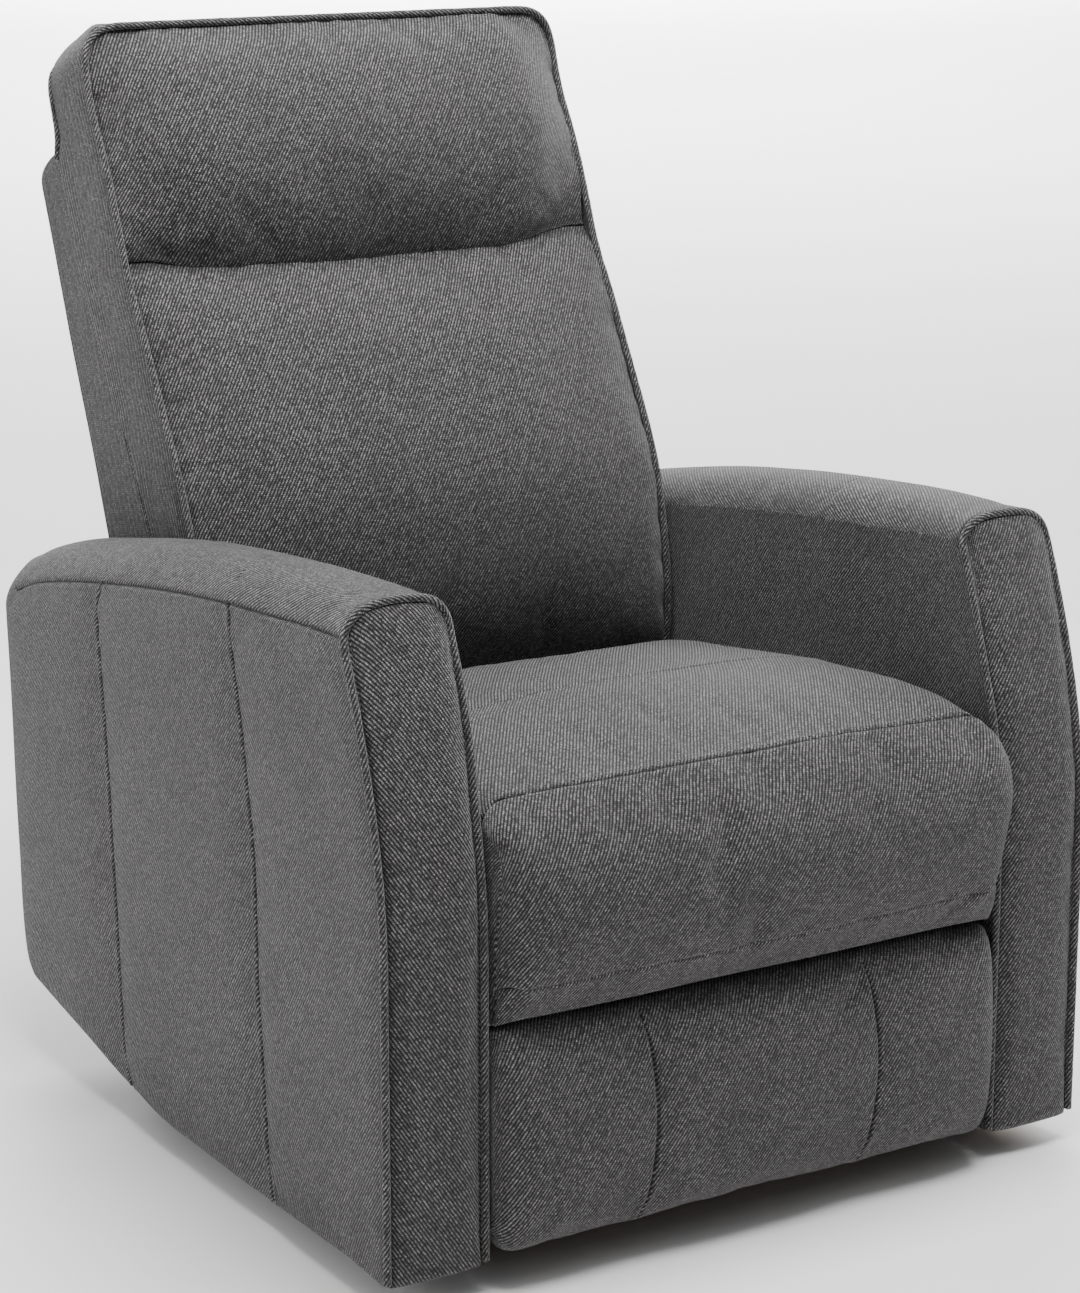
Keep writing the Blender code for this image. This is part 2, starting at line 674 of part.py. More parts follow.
def build_back_cushions(back, finishes):
    rear_gap = 0.003
    heights = (0.060, 0.200, 0.300, 0.400, 0.510)
    rear = [(frame_front(height) - rear_gap, height) for height in heights]
    front = [(-0.080, 0.522), (-0.098, 0.505), (-0.107, 0.450), (-0.117, 0.370)]
    lumbar = [(-0.127, 0.300), (-0.126, 0.230), (-0.110, 0.150), (-0.086, 0.085)]
    outline = rear + front + lumbar + [(-0.068, 0.062)]
    crowns = [0.0] * 5 + [0.004, 0.012, 0.020, 0.024, 0.026, 0.024, 0.016, 0.006, 0.0]
    fabric = finishes["fabric"]
    cushion("back_lumbar_cushion", back, outline, crowns, BACK_HALF_WIDTH, fabric)

    rear = [(-rear_gap, 0.526), (-rear_gap, 0.640), (-rear_gap, 0.745), (-0.012, 0.772)]
    top = [(-0.045, 0.783), (-0.085, 0.780), (-0.106, 0.764)]
    roll = [(-0.118, 0.720), (-0.122, 0.660), (-0.122, 0.600), (-0.112, 0.556), (-0.090, 0.534)]
    outline = rear + top + roll
    crowns = [0.0, 0.0, 0.0, 0.0, 0.004, 0.006, 0.014, 0.026, 0.032, 0.030, 0.016, 0.002]
    cushion("headrest_cushion", back, outline, crowns, BACK_HALF_WIDTH, fabric)


def main():
    clear_scene()
    finishes = make_materials()
    base = joint_frame("chair_origin", 0.0, 0.0)
    front_swing = joint_frame("front_swing_axis", *FRONT_SWING_FOOT, base)
    rear_swing = joint_frame("rear_swing_axis", *REAR_SWING_FOOT, base)
    seat = joint_frame("seat_carriage_axis", *swing_head(FRONT_SWING_FOOT), front_swing)
    back = joint_frame("back_hinge_axis", *BACK_HINGE, seat, BACK_LEAN)
    lift = joint_frame("lift_axis", *LIFT_PIVOT, seat)
    guide = joint_frame("guide_axis", *guide_pivot(LIFT_PIVOT), seat)
    carrier = joint_frame("carrier_axis", *lift_tip(), lift)
    tilt = joint_frame("tilt_axis", *TILT_FOOT, lift)
    footrest = joint_frame("footrest_axis", *FOOTREST_PIVOT, carrier)

    build_base(base, finishes)
    build_swing_links(front_swing, finishes, "front", FRONT_SWING_FOOT)
    build_swing_links(rear_swing, finishes, "rear", REAR_SWING_FOOT)
    build_seat_plates(seat, finishes)
    build_seat_frame(seat, finishes)
    build_seat_cushion(seat, finishes)
    links = {"lift": lift, "guide": guide, "carrier": carrier, "tilt": tilt}
    build_footrest_links(links, finishes)
    build_footrest(footrest, finishes)
    build_back_frame(back, finishes)
    build_back_cover(back, finishes)
    build_back_cushions(back, finishes)
    bpy.context.view_layer.update()


main()
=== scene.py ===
"""Looks of a push-back recliner armchair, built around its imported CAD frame.

The chair faces -Y and +Z is up. Outlines are (depth, height): depth is measured backwards
from the plane of the arm fronts. The back is drawn in its own leaning frame, where the first
number runs out of its rear face and the second runs up along it from the hinge.
Fabric pieces are blocks of grids, so their seams, piping and stitches follow known grid lines.
"""

import math
from collections import namedtuple

import bpy
import numpy as np
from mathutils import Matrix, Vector, noise
from mathutils.kdtree import KDTree


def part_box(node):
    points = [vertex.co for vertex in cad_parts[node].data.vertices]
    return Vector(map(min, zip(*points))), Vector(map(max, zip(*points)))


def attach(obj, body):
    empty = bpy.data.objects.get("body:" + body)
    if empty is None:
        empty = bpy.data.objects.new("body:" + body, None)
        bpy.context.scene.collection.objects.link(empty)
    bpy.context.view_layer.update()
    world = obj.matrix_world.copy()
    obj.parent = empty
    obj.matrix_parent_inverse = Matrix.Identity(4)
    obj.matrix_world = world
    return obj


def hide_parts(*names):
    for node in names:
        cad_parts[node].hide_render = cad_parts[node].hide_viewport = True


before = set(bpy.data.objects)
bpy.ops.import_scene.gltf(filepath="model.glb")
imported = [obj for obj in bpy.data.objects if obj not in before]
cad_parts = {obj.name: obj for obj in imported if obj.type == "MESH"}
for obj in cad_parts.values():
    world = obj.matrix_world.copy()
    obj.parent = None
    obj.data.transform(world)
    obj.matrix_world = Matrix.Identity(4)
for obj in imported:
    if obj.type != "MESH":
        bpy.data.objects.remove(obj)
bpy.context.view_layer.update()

# Sizes read from the frame, metres
ARM_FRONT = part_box("left_arm_front_panel")[0].y
ARM_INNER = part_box("right_arm_cover")[0].x
ARM_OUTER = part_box("right_arm_cover")[1].x
ARM_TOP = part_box("right_arm_front_panel")[1].z
ARM_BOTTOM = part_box("right_arm_front_panel")[0].z
SEAT_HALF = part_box("seat_cushion")[1].x
BACK_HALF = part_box("back_outer_cover")[1].x
PAD_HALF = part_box("footrest_pad")[1].x
PAD_LOW, PAD_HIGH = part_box("footrest_pad")

# Driving sizes of the upholstery, metres and degrees
BACK_LEAN = math.radians(21.5)
BACK_HINGE = (0.600, 0.300)
RAKE_START = 0.340
RAKE_DEPTH = 0.065
RAKE_CURVE = 1.6
PANEL_THICK = 0.006
PANEL_INSET = 0.0040
ARM_COVER_GAP = 0.0030
BOXING_THICK = 0.0022
COVER_THICK = 0.006
CLOTH_FRAMES = 20
CORD_RADIUS = 0.0037
BOXING_RISE = 0.0015
PAD_INSET = 0.0035
STITCH_LENGTH = 0.0045
STITCH_PITCH = 0.0075
STITCH_RADIUS = 0.00055
# The two quads that close each six-sided end of a stitch, by point number
STITCH_ENDS = ((0, 5, 2, 1), (2, 5, 4, 3), (12, 13, 14, 17), (14, 15, 16, 17))
RIB_PITCH = 0.0030
RIB_ANGLE = math.radians(56.0)
FLOAT_LENGTH = 0.0021
SHOULDER_WIDTH = 0.0050
SEAM_STEPS = np.array([-3.6, -1.8, -0.7, 0.0, 0.7, 1.8, 3.6])
EDGE_STEPS = np.array([0.0, 0.0008, 0.0019, 0.0032, 0.0050, 0.0080])

# Shares of the seat's length and of its front's height where seams cross it
SEAT_CROSS_SEAM = 0.400
SEAT_HEM = 0.165
# Grid row of the seat's top that carries its front stitches, counted from the front seam
STITCHED_ROW = 3
# Where the two upright seams of the footrest lie
FOOTREST_SEAMS = (-0.126, 0.121)

SIDES = (("left", -1), ("right", 1))

Section = namedtuple("Section", "grid s t")
ALL, REVERSED = slice(None), slice(None, None, -1)


# Curves


def even(count):
    """Shares from 0 to 1 in equal steps."""
    return np.linspace(0.0, 1.0, count + 1)


def gather(count, places, width):
    """Shares from 0 to 1 in equal steps, with a few more close to each seam."""
    shares = even(count)
    for place in places:
        shares = shares[np.abs(shares - place) > 5.5 * width]
        shares = np.concatenate([shares, place + width * SEAM_STEPS])
    return np.unique(np.clip(shares, 0.0, 1.0))


def edged(half, count, ends=(True, True)):
    """Places from -half to half, closer together where the face falls back at its edges."""
    low, high = -half, half
    near, far = [], []
    if ends[0]:
        near, low = -half + EDGE_STEPS[:-1], -half + EDGE_STEPS[-1]
    if ends[1]:
        far, high = half - EDGE_STEPS[:-1][::-1], half - EDGE_STEPS[-1]
    return np.concatenate([near, np.linspace(low, high, count), far])


def rounded(half, count, share):
    """Places from -half to half, closer together towards both ends the more share is near 1."""
    turns = np.linspace(-0.5, 0.5, count) * math.pi * share
    return half * np.sin(turns) / math.sin(turns[-1])


def hump(distance, width):
    """1 at no distance, fading smoothly to 0 over about twice the width."""
    return np.exp(-((distance / width) ** 2))


def ease(share):
    """0 below 0, 1 above 1 and smooth between."""
    share = np.clip(share, 0, 1)
    return share * share * (3 - 2 * share)


def edge_drop(place, edge, radius):
    """How far a surface falls away at a place near its rounded edge."""
    reach = np.clip((np.abs(place) - (edge - radius)) / radius, 0, 1)
    return radius * (1 - np.sqrt(1 - reach**2))


def nearest(places, place):
    """The number of the grid line nearest to a place."""
    return int(np.argmin(np.abs(places - place)))


def shoulder(gap, depth):
    """How far a padded face falls back close to its edge. Gap is the distance from the edge."""
    reach = np.clip(gap / SHOULDER_WIDTH, 0.0, 1.0)
    return depth * (1.0 - np.sqrt(1.0 - (1.0 - reach) ** 2))


def resample(line, shares):
    """The points at the given shares of a line's length."""
    along = line_length(line)
    return np.column_stack([np.interp(shares * along[-1], along, column) for column in line.T])


def line_length(line):
    steps = np.linalg.norm(np.diff(line, axis=0), axis=1)
    return np.concatenate([[0.0], np.cumsum(steps)])


def spline(points, shares):
    """The points at the given shares of a smooth curve through the given points."""
    knots = np.array(points, float)
    if len(knots) == 2:
        return resample(knots, shares)
    knots = np.vstack([2 * knots[0] - knots[1], knots, 2 * knots[-1] - knots[-2]])
    share = np.linspace(0.0, 1.0, 16, endpoint=False)[:, None]
    runs = []
    for a, b, c, d in zip(knots, knots[1:], knots[2:], knots[3:]):
        bend = (2 * a - 5 * b + 4 * c - d) * share**2 + (3 * b - a - 3 * c + d) * share**3
        runs.append(0.5 * (2 * b + (c - a) * share + bend))
    return resample(np.vstack([*runs, knots[-2:-1]]), shares)


def curve_at(value, places, amounts):
    """The height at value of a smooth curve through amounts at the given places."""
    line = spline(np.column_stack([places, amounts]), even(240))
    return np.interp(value, line[:, 0], line[:, 1])


def smooth_path(points, rounds):
    """The path with its small kinks evened out and its ends held."""
    path = np.array(points, float)
    for _ in range(rounds):
        path[1:-1] = 0.5 * path[1:-1] + 0.25 * (path[:-2] + path[2:])
    return path


def upright(x, depth, height):
    """A point of the base, seat or footrest in the row frame."""
    return np.stack([x, ARM_FRONT + depth, height], axis=-1)


def leaning(x, out, up):
    """A point of the back, from its leaning frame, in the row frame."""
    depth = BACK_HINGE[0] + up * math.sin(BACK_LEAN) + out * math.cos(BACK_LEAN)
    height = BACK_HINGE[1] + up * math.cos(BACK_LEAN) - out * math.sin(BACK_LEAN)
    return np.stack([x, ARM_FRONT + depth, height], axis=-1)


# Blocks of grids


def fill(bottom, top, front, rear, s, t):
    """The grid inside four smooth borders: bottom and top run backwards, front and rear run up."""
    bottom, top = spline(bottom, s), spline(top, s)
    front, rear = spline(front, t), spline(rear, t)
    across, up = s[:, None, None], t[None, :, None]
    along = bottom[:, None] * (1 - up) + top[:, None] * up
    beside = front[None] * (1 - across) + rear[None] * across
    low = bottom[0] * (1 - across) + bottom[-1] * across
    high = top[0] * (1 - across) + top[-1] * across
    return Section(along + beside - low * (1 - up) - high * up, s, t)


def face_grids(section, xs, faces):
    """Each named face of a block: x, section s and t, outline points, fabric coordinates and winding."""
    grid = section.grid
    s_all, t_all = np.meshgrid(section.s, section.t, indexing="ij")
    front_length = line_length(grid[0])
    lines = {
        "front": (0, ALL, front_length, 1),
        "rear": (-1, ALL, line_length(grid[-1]), -1),
        "top": (ALL, -1, front_length[-1] + line_length(grid[:, -1]), 1),
        "bottom": (ALL, 0, -line_length(grid[:, 0]), 1),
    }
    grids = {}
    for face in faces:
        if face in lines:
            row, column, length, hand = lines[face]
            x, v = np.meshgrid(xs, length, indexing="ij")
            s = np.broadcast_to(s_all[row, column], x.shape)
            t = np.broadcast_to(t_all[row, column], x.shape)
            points = np.broadcast_to(grid[row, column], (*x.shape, 2))
            grids[face] = (x, s, t, points, np.stack([hand * x, v], -1), face in ("front", "top"))
        else:
            hand = 1 if face == "right" else -1
            x = np.full(s_all.shape, xs[-1] if face == "right" else xs[0])
            cloth = np.stack([hand * grid[..., 0], grid[..., 1]], -1)
            grids[face] = (x, s_all, t_all, grid, cloth, face == "right")
    return grids


def spread(points):
    """Distance across a grid of points, measured along its rows from their middles."""
    steps = np.linalg.norm(np.diff(points, axis=0), axis=2)
    along = np.vstack([np.zeros(points.shape[1]), np.cumsum(steps, axis=0)])
    return along - along[-1] / 2


class Pad:
    """A fabric piece: one mesh of grids, with each grid's vertex numbers kept by face name."""

    def __init__(self, name, section, xs, form, place, faces=None):
        faces = faces or ("front", "top", "rear", "bottom", "left", "right")
        grids = face_grids(section, xs, faces)
        spots, self.index, start = [], {}, 0
        for face in faces:
            x, s, t, points, fabric, _ = grids[face]
            moved = place(*form(x, s, t, points[..., 0], points[..., 1]))
            spots.append(moved.reshape(-1, 3))
            if face not in ("left", "right"):
                fabric[..., 0] = np.sign(fabric[-1, 0, 0]) * np.sign(x[-1, 0] - x[0, 0]) * spread(moved)
            self.index[face] = np.arange(start, start + x.size).reshape(x.shape)
            start += x.size
        spots = np.vstack(spots)
        _, first, welded = np.unique(np.round(spots, 6), axis=0, return_index=True, return_inverse=True)
        welded = welded.reshape(-1)
        quads, cloth = [], []
        for face in faces:
            self.index[face] = welded[self.index[face]]
            number, fabric, outwards = self.index[face], grids[face][4], grids[face][5]
            corners = [(0, 0), (1, 0), (1, 1), (0, 1)] if outwards else [(0, 0), (0, 1), (1, 1), (1, 0)]
            rows, columns = number.shape
            cut = [(slice(i, rows - 1 + i), slice(j, columns - 1 + j)) for i, j in corners]
            quads.append(np.stack([number[c] for c in cut], -1).reshape(-1, 4))
            cloth.append(np.stack([fabric[c] for c in cut], -2).reshape(-1, 4, 2))
        self.piece = mesh_object(name, spots[first], np.vstack(quads), np.vstack(cloth))

    def points(self):
        return read_points(self.piece.data)

    def hold(self, weight, *faces):
        """The points of whole faces, with how firmly they are held while the piece swells."""
        return [(self.index[face].ravel(), weight) for face in faces]

    def along(self, *spans):
        """Vertex numbers along joined grid lines, each given as (face, rows, columns)."""
        found = []
        for face, rows, columns in spans:
            for number in self.index[face][rows, columns].reshape(-1):
                if not found or found[-1] != number:
                    found.append(int(number))
        return found


def rim(face):
    """The spans that run up one side of a face, over its top and down the other side."""
    return (face, 0, ALL), (face, ALL, -1), (face, -1, REVERSED)


def read_rows(items, key):
    flat = np.zeros(len(items) * 3, np.float32)
    items.foreach_get(key, flat)
    return flat.reshape(-1, 3).astype(float)


def read_points(mesh):
    return read_rows(mesh.vertices, "co")


def read_normals(mesh):
    return read_rows(mesh.vertex_normals, "vector")


def write_points(mesh, points):
    mesh.vertices.foreach_set("co", points.astype(np.float32).ravel())
    mesh.update()


def push_out(piece, amounts):
    """Moves every point of a piece along its normal."""
    moves = read_normals(piece.data) * np.array(amounts)[:, None]
    write_points(piece.data, read_points(piece.data) + moves)


def mesh_object(name, points, faces, cloth=None):
    """A smooth-shaded mesh in the scene, with its fabric coordinates in metres as its UV map."""
    mesh = bpy.data.meshes.new(name)
    mesh.from_pydata(points.tolist(), [], [list(face) for face in faces])
    if cloth is not None:
        layer = mesh.uv_layers.new(name="fabric")
        layer.data.foreach_set("uv", cloth.astype(np.float32).ravel())
    mesh.shade_smooth()
    piece = bpy.data.objects.new(name, mesh)
    bpy.context.scene.collection.objects.link(piece)
    return piece


def bake_modifiers(piece):
    """The piece's modifiers applied to its mesh."""
    bpy.context.view_layer.update()
    graph = bpy.context.evaluated_depsgraph_get()
    made = bpy.data.meshes.new_from_object(piece.evaluated_get(graph))
    piece.modifiers.clear()
    old, piece.data = piece.data, made
    bpy.data.meshes.remove(old)
    return piece


def thicken(piece, thickness):
    """Gives an open sheet of fabric its thickness, inwards."""
    thick = piece.modifiers.new("Solidify", "SOLIDIFY")
    thick.thickness, thick.offset = thickness, -1.0
    bake_modifiers(piece)


def subdivide(piece, creased=(), sharpness=0.6):
    """One level of subdivision, with the edges between creased vertices kept tight."""
    if creased:
        marked = np.zeros(len(piece.data.vertices), bool)
        marked[list(creased)] = True
        edges = np.zeros(len(piece.data.edges) * 2, np.int32)
        piece.data.edges.foreach_get("vertices", edges)
        both = marked[edges.reshape(-1, 2)].all(axis=1)
        crease = piece.data.attributes.new("crease_edge", "FLOAT", "EDGE")
        crease.data.foreach_set("value", np.where(both, sharpness, 0.0).astype(np.float32))
    smooth = piece.modifiers.new("Subdivision", "SUBSURF")
    smooth.levels = smooth.render_levels = 1
    return bake_modifiers(piece)


# Soft shaping


def inflate(pad, held, cap, pressure=4.0, slack=0.0, stiff=15.0):
    """The fabric swells under pressure between its held seams, and no point moves over cap."""
    piece, scene = pad.piece, bpy.context.scene
    rest = pad.points()
    group = piece.vertex_groups.new(name="held")
    for numbers, weight in held:
        group.add([int(n) for n in numbers], weight, "REPLACE")
    cloth = piece.modifiers.new("Cloth", "CLOTH")
    settings = cloth.settings
    settings.quality = 4
    settings.mass = 0.25
    settings.tension_stiffness = settings.compression_stiffness = stiff
    settings.shear_stiffness = stiff * 0.4
    settings.bending_stiffness = 0.4
    settings.use_pressure = True
    settings.uniform_pressure_force = pressure
    settings.shrink_min = settings.shrink_max = -slack
    settings.vertex_group_mass = group.name
    settings.effector_weights.gravity = 0.0
    cloth.collision_settings.use_collision = False
    for step in range(1, CLOTH_FRAMES + 1):
        scene.frame_set(step)
    graph = bpy.context.evaluated_depsgraph_get()
    swollen = piece.evaluated_get(graph).to_mesh()
    moved = read_points(swollen) - rest
    piece.evaluated_get(graph).to_mesh_clear()
    scene.frame_set(1)
    length = np.linalg.norm(moved, axis=1, keepdims=True)
    moved *= cap * np.tanh(length / cap) / np.maximum(length, 1e-9)
    piece.modifiers.remove(cloth)
    piece.vertex_groups.remove(group)
    write_points(piece.data, rest + moved)


def ruffle(piece, size, height, seed=0.0):
    """Shallow unevenness of the filling, as broad as size."""
    shift = Vector((seed, seed * 0.7, seed * 1.3))
    points = read_points(piece.data)
    push_out(piece, [height * noise.noise(Vector(point) / size + shift) for point in points])


def distances(piece, line):
    """How far each of the piece's points is from a line."""
    line = resample(line, even(int(line_length(line)[-1] / 0.0012)))
    tree = KDTree(len(line))
    for number, spot in enumerate(line):
        tree.insert(spot, number)
    tree.balance()
    return np.array([tree.find(point)[2] for point in read_points(piece.data)])


def press_seam(piece, numbers, depth, reach, dark=0.8):
    """The fabric dips along a seam and rises softly beside it, and painted shade darkens the bottom of the
    seam.
    """
    gap = distances(piece, read_points(piece.data)[numbers])
    push_out(piece, depth * (0.35 * hump(gap - 2.2 * reach, reach) - hump(gap, 0.625 * reach)))
    darken(piece, dark * hump(gap, 0.55 * reach))


def darken(piece, shares):
    """Marks where light hardly reaches the weave, such as the bottom of a seam."""
    old = piece.data.attributes.get("crease")
    if old is None:
        old = piece.data.attributes.new("crease", "FLOAT", "POINT")
    before = np.zeros(len(piece.data.vertices), np.float32)
    old.data.foreach_get("value", before)
    old.data.foreach_set("value", np.maximum(before, shares).astype(np.float32))


def shade_line(piece, line, reach, dark):
    """Marks the shadow beside a line where two pieces meet."""
    darken(piece, dark * hump(distances(piece, line), reach))


# Piping and stitches


def tube_rings(path, radius, sides, wobble=0.0):
    """Rings of points along a path, turned as little as possible from one to the next."""
    tangents = np.gradient(path, axis=0)
    tangents /= np.linalg.norm(tangents, axis=1, keepdims=True)
    side = np.cross(tangents[0], (0.3, 0.5, 0.8))
    angles = np.linspace(0, 2 * math.pi, sides, endpoint=False)
    rings = []
    for i, (spot, tangent) in enumerate(zip(path, tangents)):
        side = side - tangent * (side @ tangent)
        side /= np.linalg.norm(side)
        up = np.cross(tangent, side)
        size = radius * (1 + wobble * noise.noise(Vector(spot) * 90))
        rings.append(spot + size * (np.outer(np.cos(angles), side) + np.outer(np.sin(angles), up)))
    return np.array(rings)


def tube(name, path, radius, sides, wobble=0.0):
    """A round cord of fabric along a path, with pointed ends."""
    rings = tube_rings(path, radius, sides, wobble)
    length = line_length(path)
    around = 2 * math.pi * radius / sides
    count = len(rings)
    faces, cloth = [], []
    for i in range(count - 1):
        for k in range(sides):
            n = (k + 1) % sides
            faces.append((i * sides + k, i * sides + n, (i + 1) * sides + n, (i + 1) * sides + k))
            near, far = k * around, (k + 1) * around
            cloth += [(near, length[i]), (far, length[i]), (far, length[i + 1]), (near, length[i + 1])]
    tips = np.array([path[0] * 1.5 - path[1] * 0.5, path[-1] * 1.5 - path[-2] * 0.5])
    first = count * sides
    for tip, ring, turn in ((0, 0, -1), (1, first - sides, 1)):
        for k in range(sides):
            pair = [ring + k, ring + (k + 1) % sides][::turn]
            faces.append((*pair, first + tip))
            cloth += [(0.0, length[-1] * tip), (around, length[-1] * tip), (0.0, length[-1] * tip)]
    return mesh_object(name, np.vstack([rings.reshape(-1, 3), tips]), faces, np.array(cloth))


def stitches(name, path, outwards, rise=0.0004):
    """A row of thread stitches laid on the surface along a path."""
    length = line_length(path)
    starts = np.arange(STITCH_PITCH * 0.5, length[-1] - STITCH_LENGTH, STITCH_PITCH)
    points, quads = [], []
    for start in starts:
        ends = []
        for along in (start, start + STITCH_LENGTH * 0.5, start + STITCH_LENGTH):
            spot = np.array([np.interp(along, length, column) for column in path.T])
            out = np.array([np.interp(along, length, column) for column in outwards.T])
            ends.append((spot, out / np.linalg.norm(out)))
        run = ends[2][0] - ends[0][0]
        run /= np.linalg.norm(run)
        for (spot, out), height, size in zip(ends, (-0.0006, rise, -0.0006), (0.5, 1.0, 0.5)):
            across = np.cross(run, out)
            middle = spot + out * height
            for angle in np.linspace(0, 2 * math.pi, 6, endpoint=False):
                turn = across * math.cos(angle) + out * math.sin(angle)
                points.append(middle + turn * STITCH_RADIUS * size)
        base = len(points) - 18
        for ring in range(2):
            for k in range(6):
                low, near = base + ring * 6 + k, base + ring * 6 + (k + 1) % 6
                quads.append((low, near, near + 6, low + 6))
        quads += [[base + corner for corner in quad] for quad in STITCH_ENDS]
    return mesh_object(name, np.array(points), np.array(quads))


def dress(piece, finish, body, stands_for=()):
    """Gives a piece its material and the body that it rides on."""
    piece.data.materials.clear()
    piece.data.materials.append(finish)
    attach(piece, body)
    if stands_for:
        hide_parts(*stands_for)
    return piece


def upholster(finishes, pad, body, fill, *stands_for):
    dress(pad.piece, finishes["fabric"], body, stands_for)


# Arms


def front_face_depth(height):
    """Depth of the arm's front face: upright low down, then raked back in a smooth curve."""
    share = np.maximum(0.0, height - RAKE_START) / (ARM_TOP - RAKE_START)
    return RAKE_DEPTH * share**RAKE_CURVE


def rake_line(offset):
    """The arm's front face as seen from the side, moved backwards by offset."""
    heights = np.linspace(ARM_BOTTOM, ARM_TOP, 26)
    return np.column_stack([front_face_depth(heights) + offset, heights])


def arm_drop(share, s, half):
    """How far the arm's top falls away at its rounded edges. Share is 1 at the outer side."""
    back = np.clip(s / 0.2, 0, 1)
    radius = np.where(share > 0, 0.025 + 0.003 * back, 0.019 + 0.007 * back)
    return edge_drop(share * half, half, radius) - (0.0045 + 0.0025 * back) * (1 - share**2)


def arm_flare(share, s, height):
    """How far the arm's sides spread towards its front edge: outwards, and inwards above the seat."""
    over_seat = np.clip((height - 0.450) / 0.050, 0, 1)
    spread = np.where(share > 0, 0.0055, -0.0005 - 0.0035 * over_seat)
    return spread * share**2 * np.exp(-s / 0.05)


# Each upright seam on the arm's outer side: its share of the arm's depth, and its bends by height
ARM_SEAMS = (
    (0.30, ((0.0, -0.012), (0.35, 0.002), (1.0, 0.006))),
    (0.69, ((0.0, -0.006), (0.5, 0.004), (1.0, 0.0))),
)


def arm_section(s, t):
    """The arm seen from the side: a raked front, a sloping top and a base that rises at the rear."""
    gap = ARM_COVER_GAP
    bottom = [(gap, ARM_BOTTOM), (0.400, 0.027), (0.520, 0.038), (0.630, 0.060), (0.757, 0.084)]
    rear = [(0.757, 0.084), (0.774, 0.110), (0.782, 0.200), (0.794, 0.470), (0.788, 0.505), (0.765, 0.524)]
    crest = [(RAKE_DEPTH + gap, ARM_TOP), (0.166, 0.618), (0.300, 0.608), (0.430, 0.594)]
    crest += [(0.570, 0.572), (0.700, 0.546), (0.765, 0.524)]
    return fill(bottom, crest, rake_line(gap), rear, s, t)


def piping_path(border, centre):
    """The border of the arm's front, drawn in and forwards to where its piping lies."""
    inwards = np.array([centre, 0.0, ARM_TOP - 0.040]) - border
    inwards[:, 1] = 0.0
    inwards[:, 2] = np.minimum(inwards[:, 2], 0.0)
    inwards /= np.linalg.norm(inwards, axis=1, keepdims=True)
    return border + inwards * 0.0012 - np.array([0.0, ARM_COVER_GAP - 0.0003, 0.0])


def build_arm(finishes, name, side):
    half, centre = (ARM_OUTER - ARM_INNER) / 2, side * (ARM_INNER + ARM_OUTER) / 2
    places = [place for place, _ in ARM_SEAMS]
    s, t = gather(70, places, 0.0016), gather(54, [1.0], 0.0024)
    section = arm_section(s, t)
    xs = centre + rounded(half, 19, 1.0)
    knots = [0.0, *places, 1.0]

    def form(x, s, t, a, b):
        share = (x - centre) / half * side
        for place, bends in ARM_SEAMS:
            a = a + np.interp(t, *zip(*bends)) * hump(s - place, 0.08)
        quilt = np.abs(np.sin(math.pi * np.interp(s, knots, range(4))))
        swell = quilt**0.5 * np.sin(math.pi * np.clip(t * 0.96 + 0.04, 0, 1)) ** 0.4
        spread = arm_flare(share, s, b) + np.where(share > 0.999, 0.0022, 0.0) * swell
        return x + side * spread, a, b - arm_drop(share, s, half) * t**3

    pad = Pad(f"{name}_arm_upholstery", section, xs, form, upright)
    outside, inside = ("right", "left") if side > 0 else ("left", "right")
    columns = [nearest(s, place) for place in places]
    seams = [pad.along((outside, column, ALL)) for column in columns]
    seams.append(pad.along(("top", -1 if side > 0 else 0, ALL)))
    held = [(seam, 1.0) for seam in seams] + pad.hold(0.9, inside)
    held += pad.hold(1.0, "front", "bottom", "rear")
    inflate(pad, held, 0.005, 3.0, 0.004)
    border = pad.along(*rim("front"))
    path = pad.points()[border]
    subdivide(pad.piece, seams[0] + seams[1] + seams[2], 0.5)
    for seam in seams:
        press_seam(pad.piece, seam, 0.0016, 0.0020)
    ruffle(pad.piece, 0.09, 0.0012, side)
    shade_line(pad.piece, path, 0.0030, 0.75)
    upholster(finishes, pad, "base", 0.8, f"{name}_arm_cover")
    build_arm_front(finishes, name, centre, half, side)
    build_cord(finishes, f"{name}_arm_piping", piping_path(path, centre), "base")


def build_arm_front(finishes, name, centre, half, side):
    """The narrow front panel of an arm. Its edges turn back into the groove beside the piping."""
    front, rear = rake_line(0.0), rake_line(PANEL_THICK)
    length = line_length(front)[-1]
    t = edged(0.5 * length, 70, (False, True)) / length + 0.5
    section = fill([front[0], rear[0]], [front[-1], rear[-1]], front, rear, even(2), t)
    inset = PANEL_INSET
    xs = centre + edged(half, 16)

    def form(x, s, t, a, b):
        share = (x - centre) / half * side
        gap = np.minimum(half - np.abs(x - centre), (1 - t) * length)
        a = a + (shoulder(gap, PANEL_THICK - 0.0006) - 0.0040 * (1 - np.abs(share) ** 4)) * (1 - s)
        x = centre + (x - centre) * (half - inset) / half + side * arm_flare(share, 0.0, b)
        return x, a, b - (arm_drop(share, 0.0, half) + inset) * t**8

    pad = Pad(f"{name}_arm_front", section, xs, form, upright)
    border = pad.along(*rim("front"))
    held = [(border, 1.0), (pad.index["front"][:, 0], 1.0), *pad.hold(1.0, "rear")]
    inflate(pad, held, 0.003, 3.0, 0.004)
    path = pad.points()[border]
    subdivide(pad.piece, border, 0.5)
    ruffle(pad.piece, 0.06, 0.0010, side * 3)
    shade_line(pad.piece, path, 0.0046, 1.0)
    upholster(finishes, pad, "base", 0.7, f"{name}_arm_front_panel")


# Seat


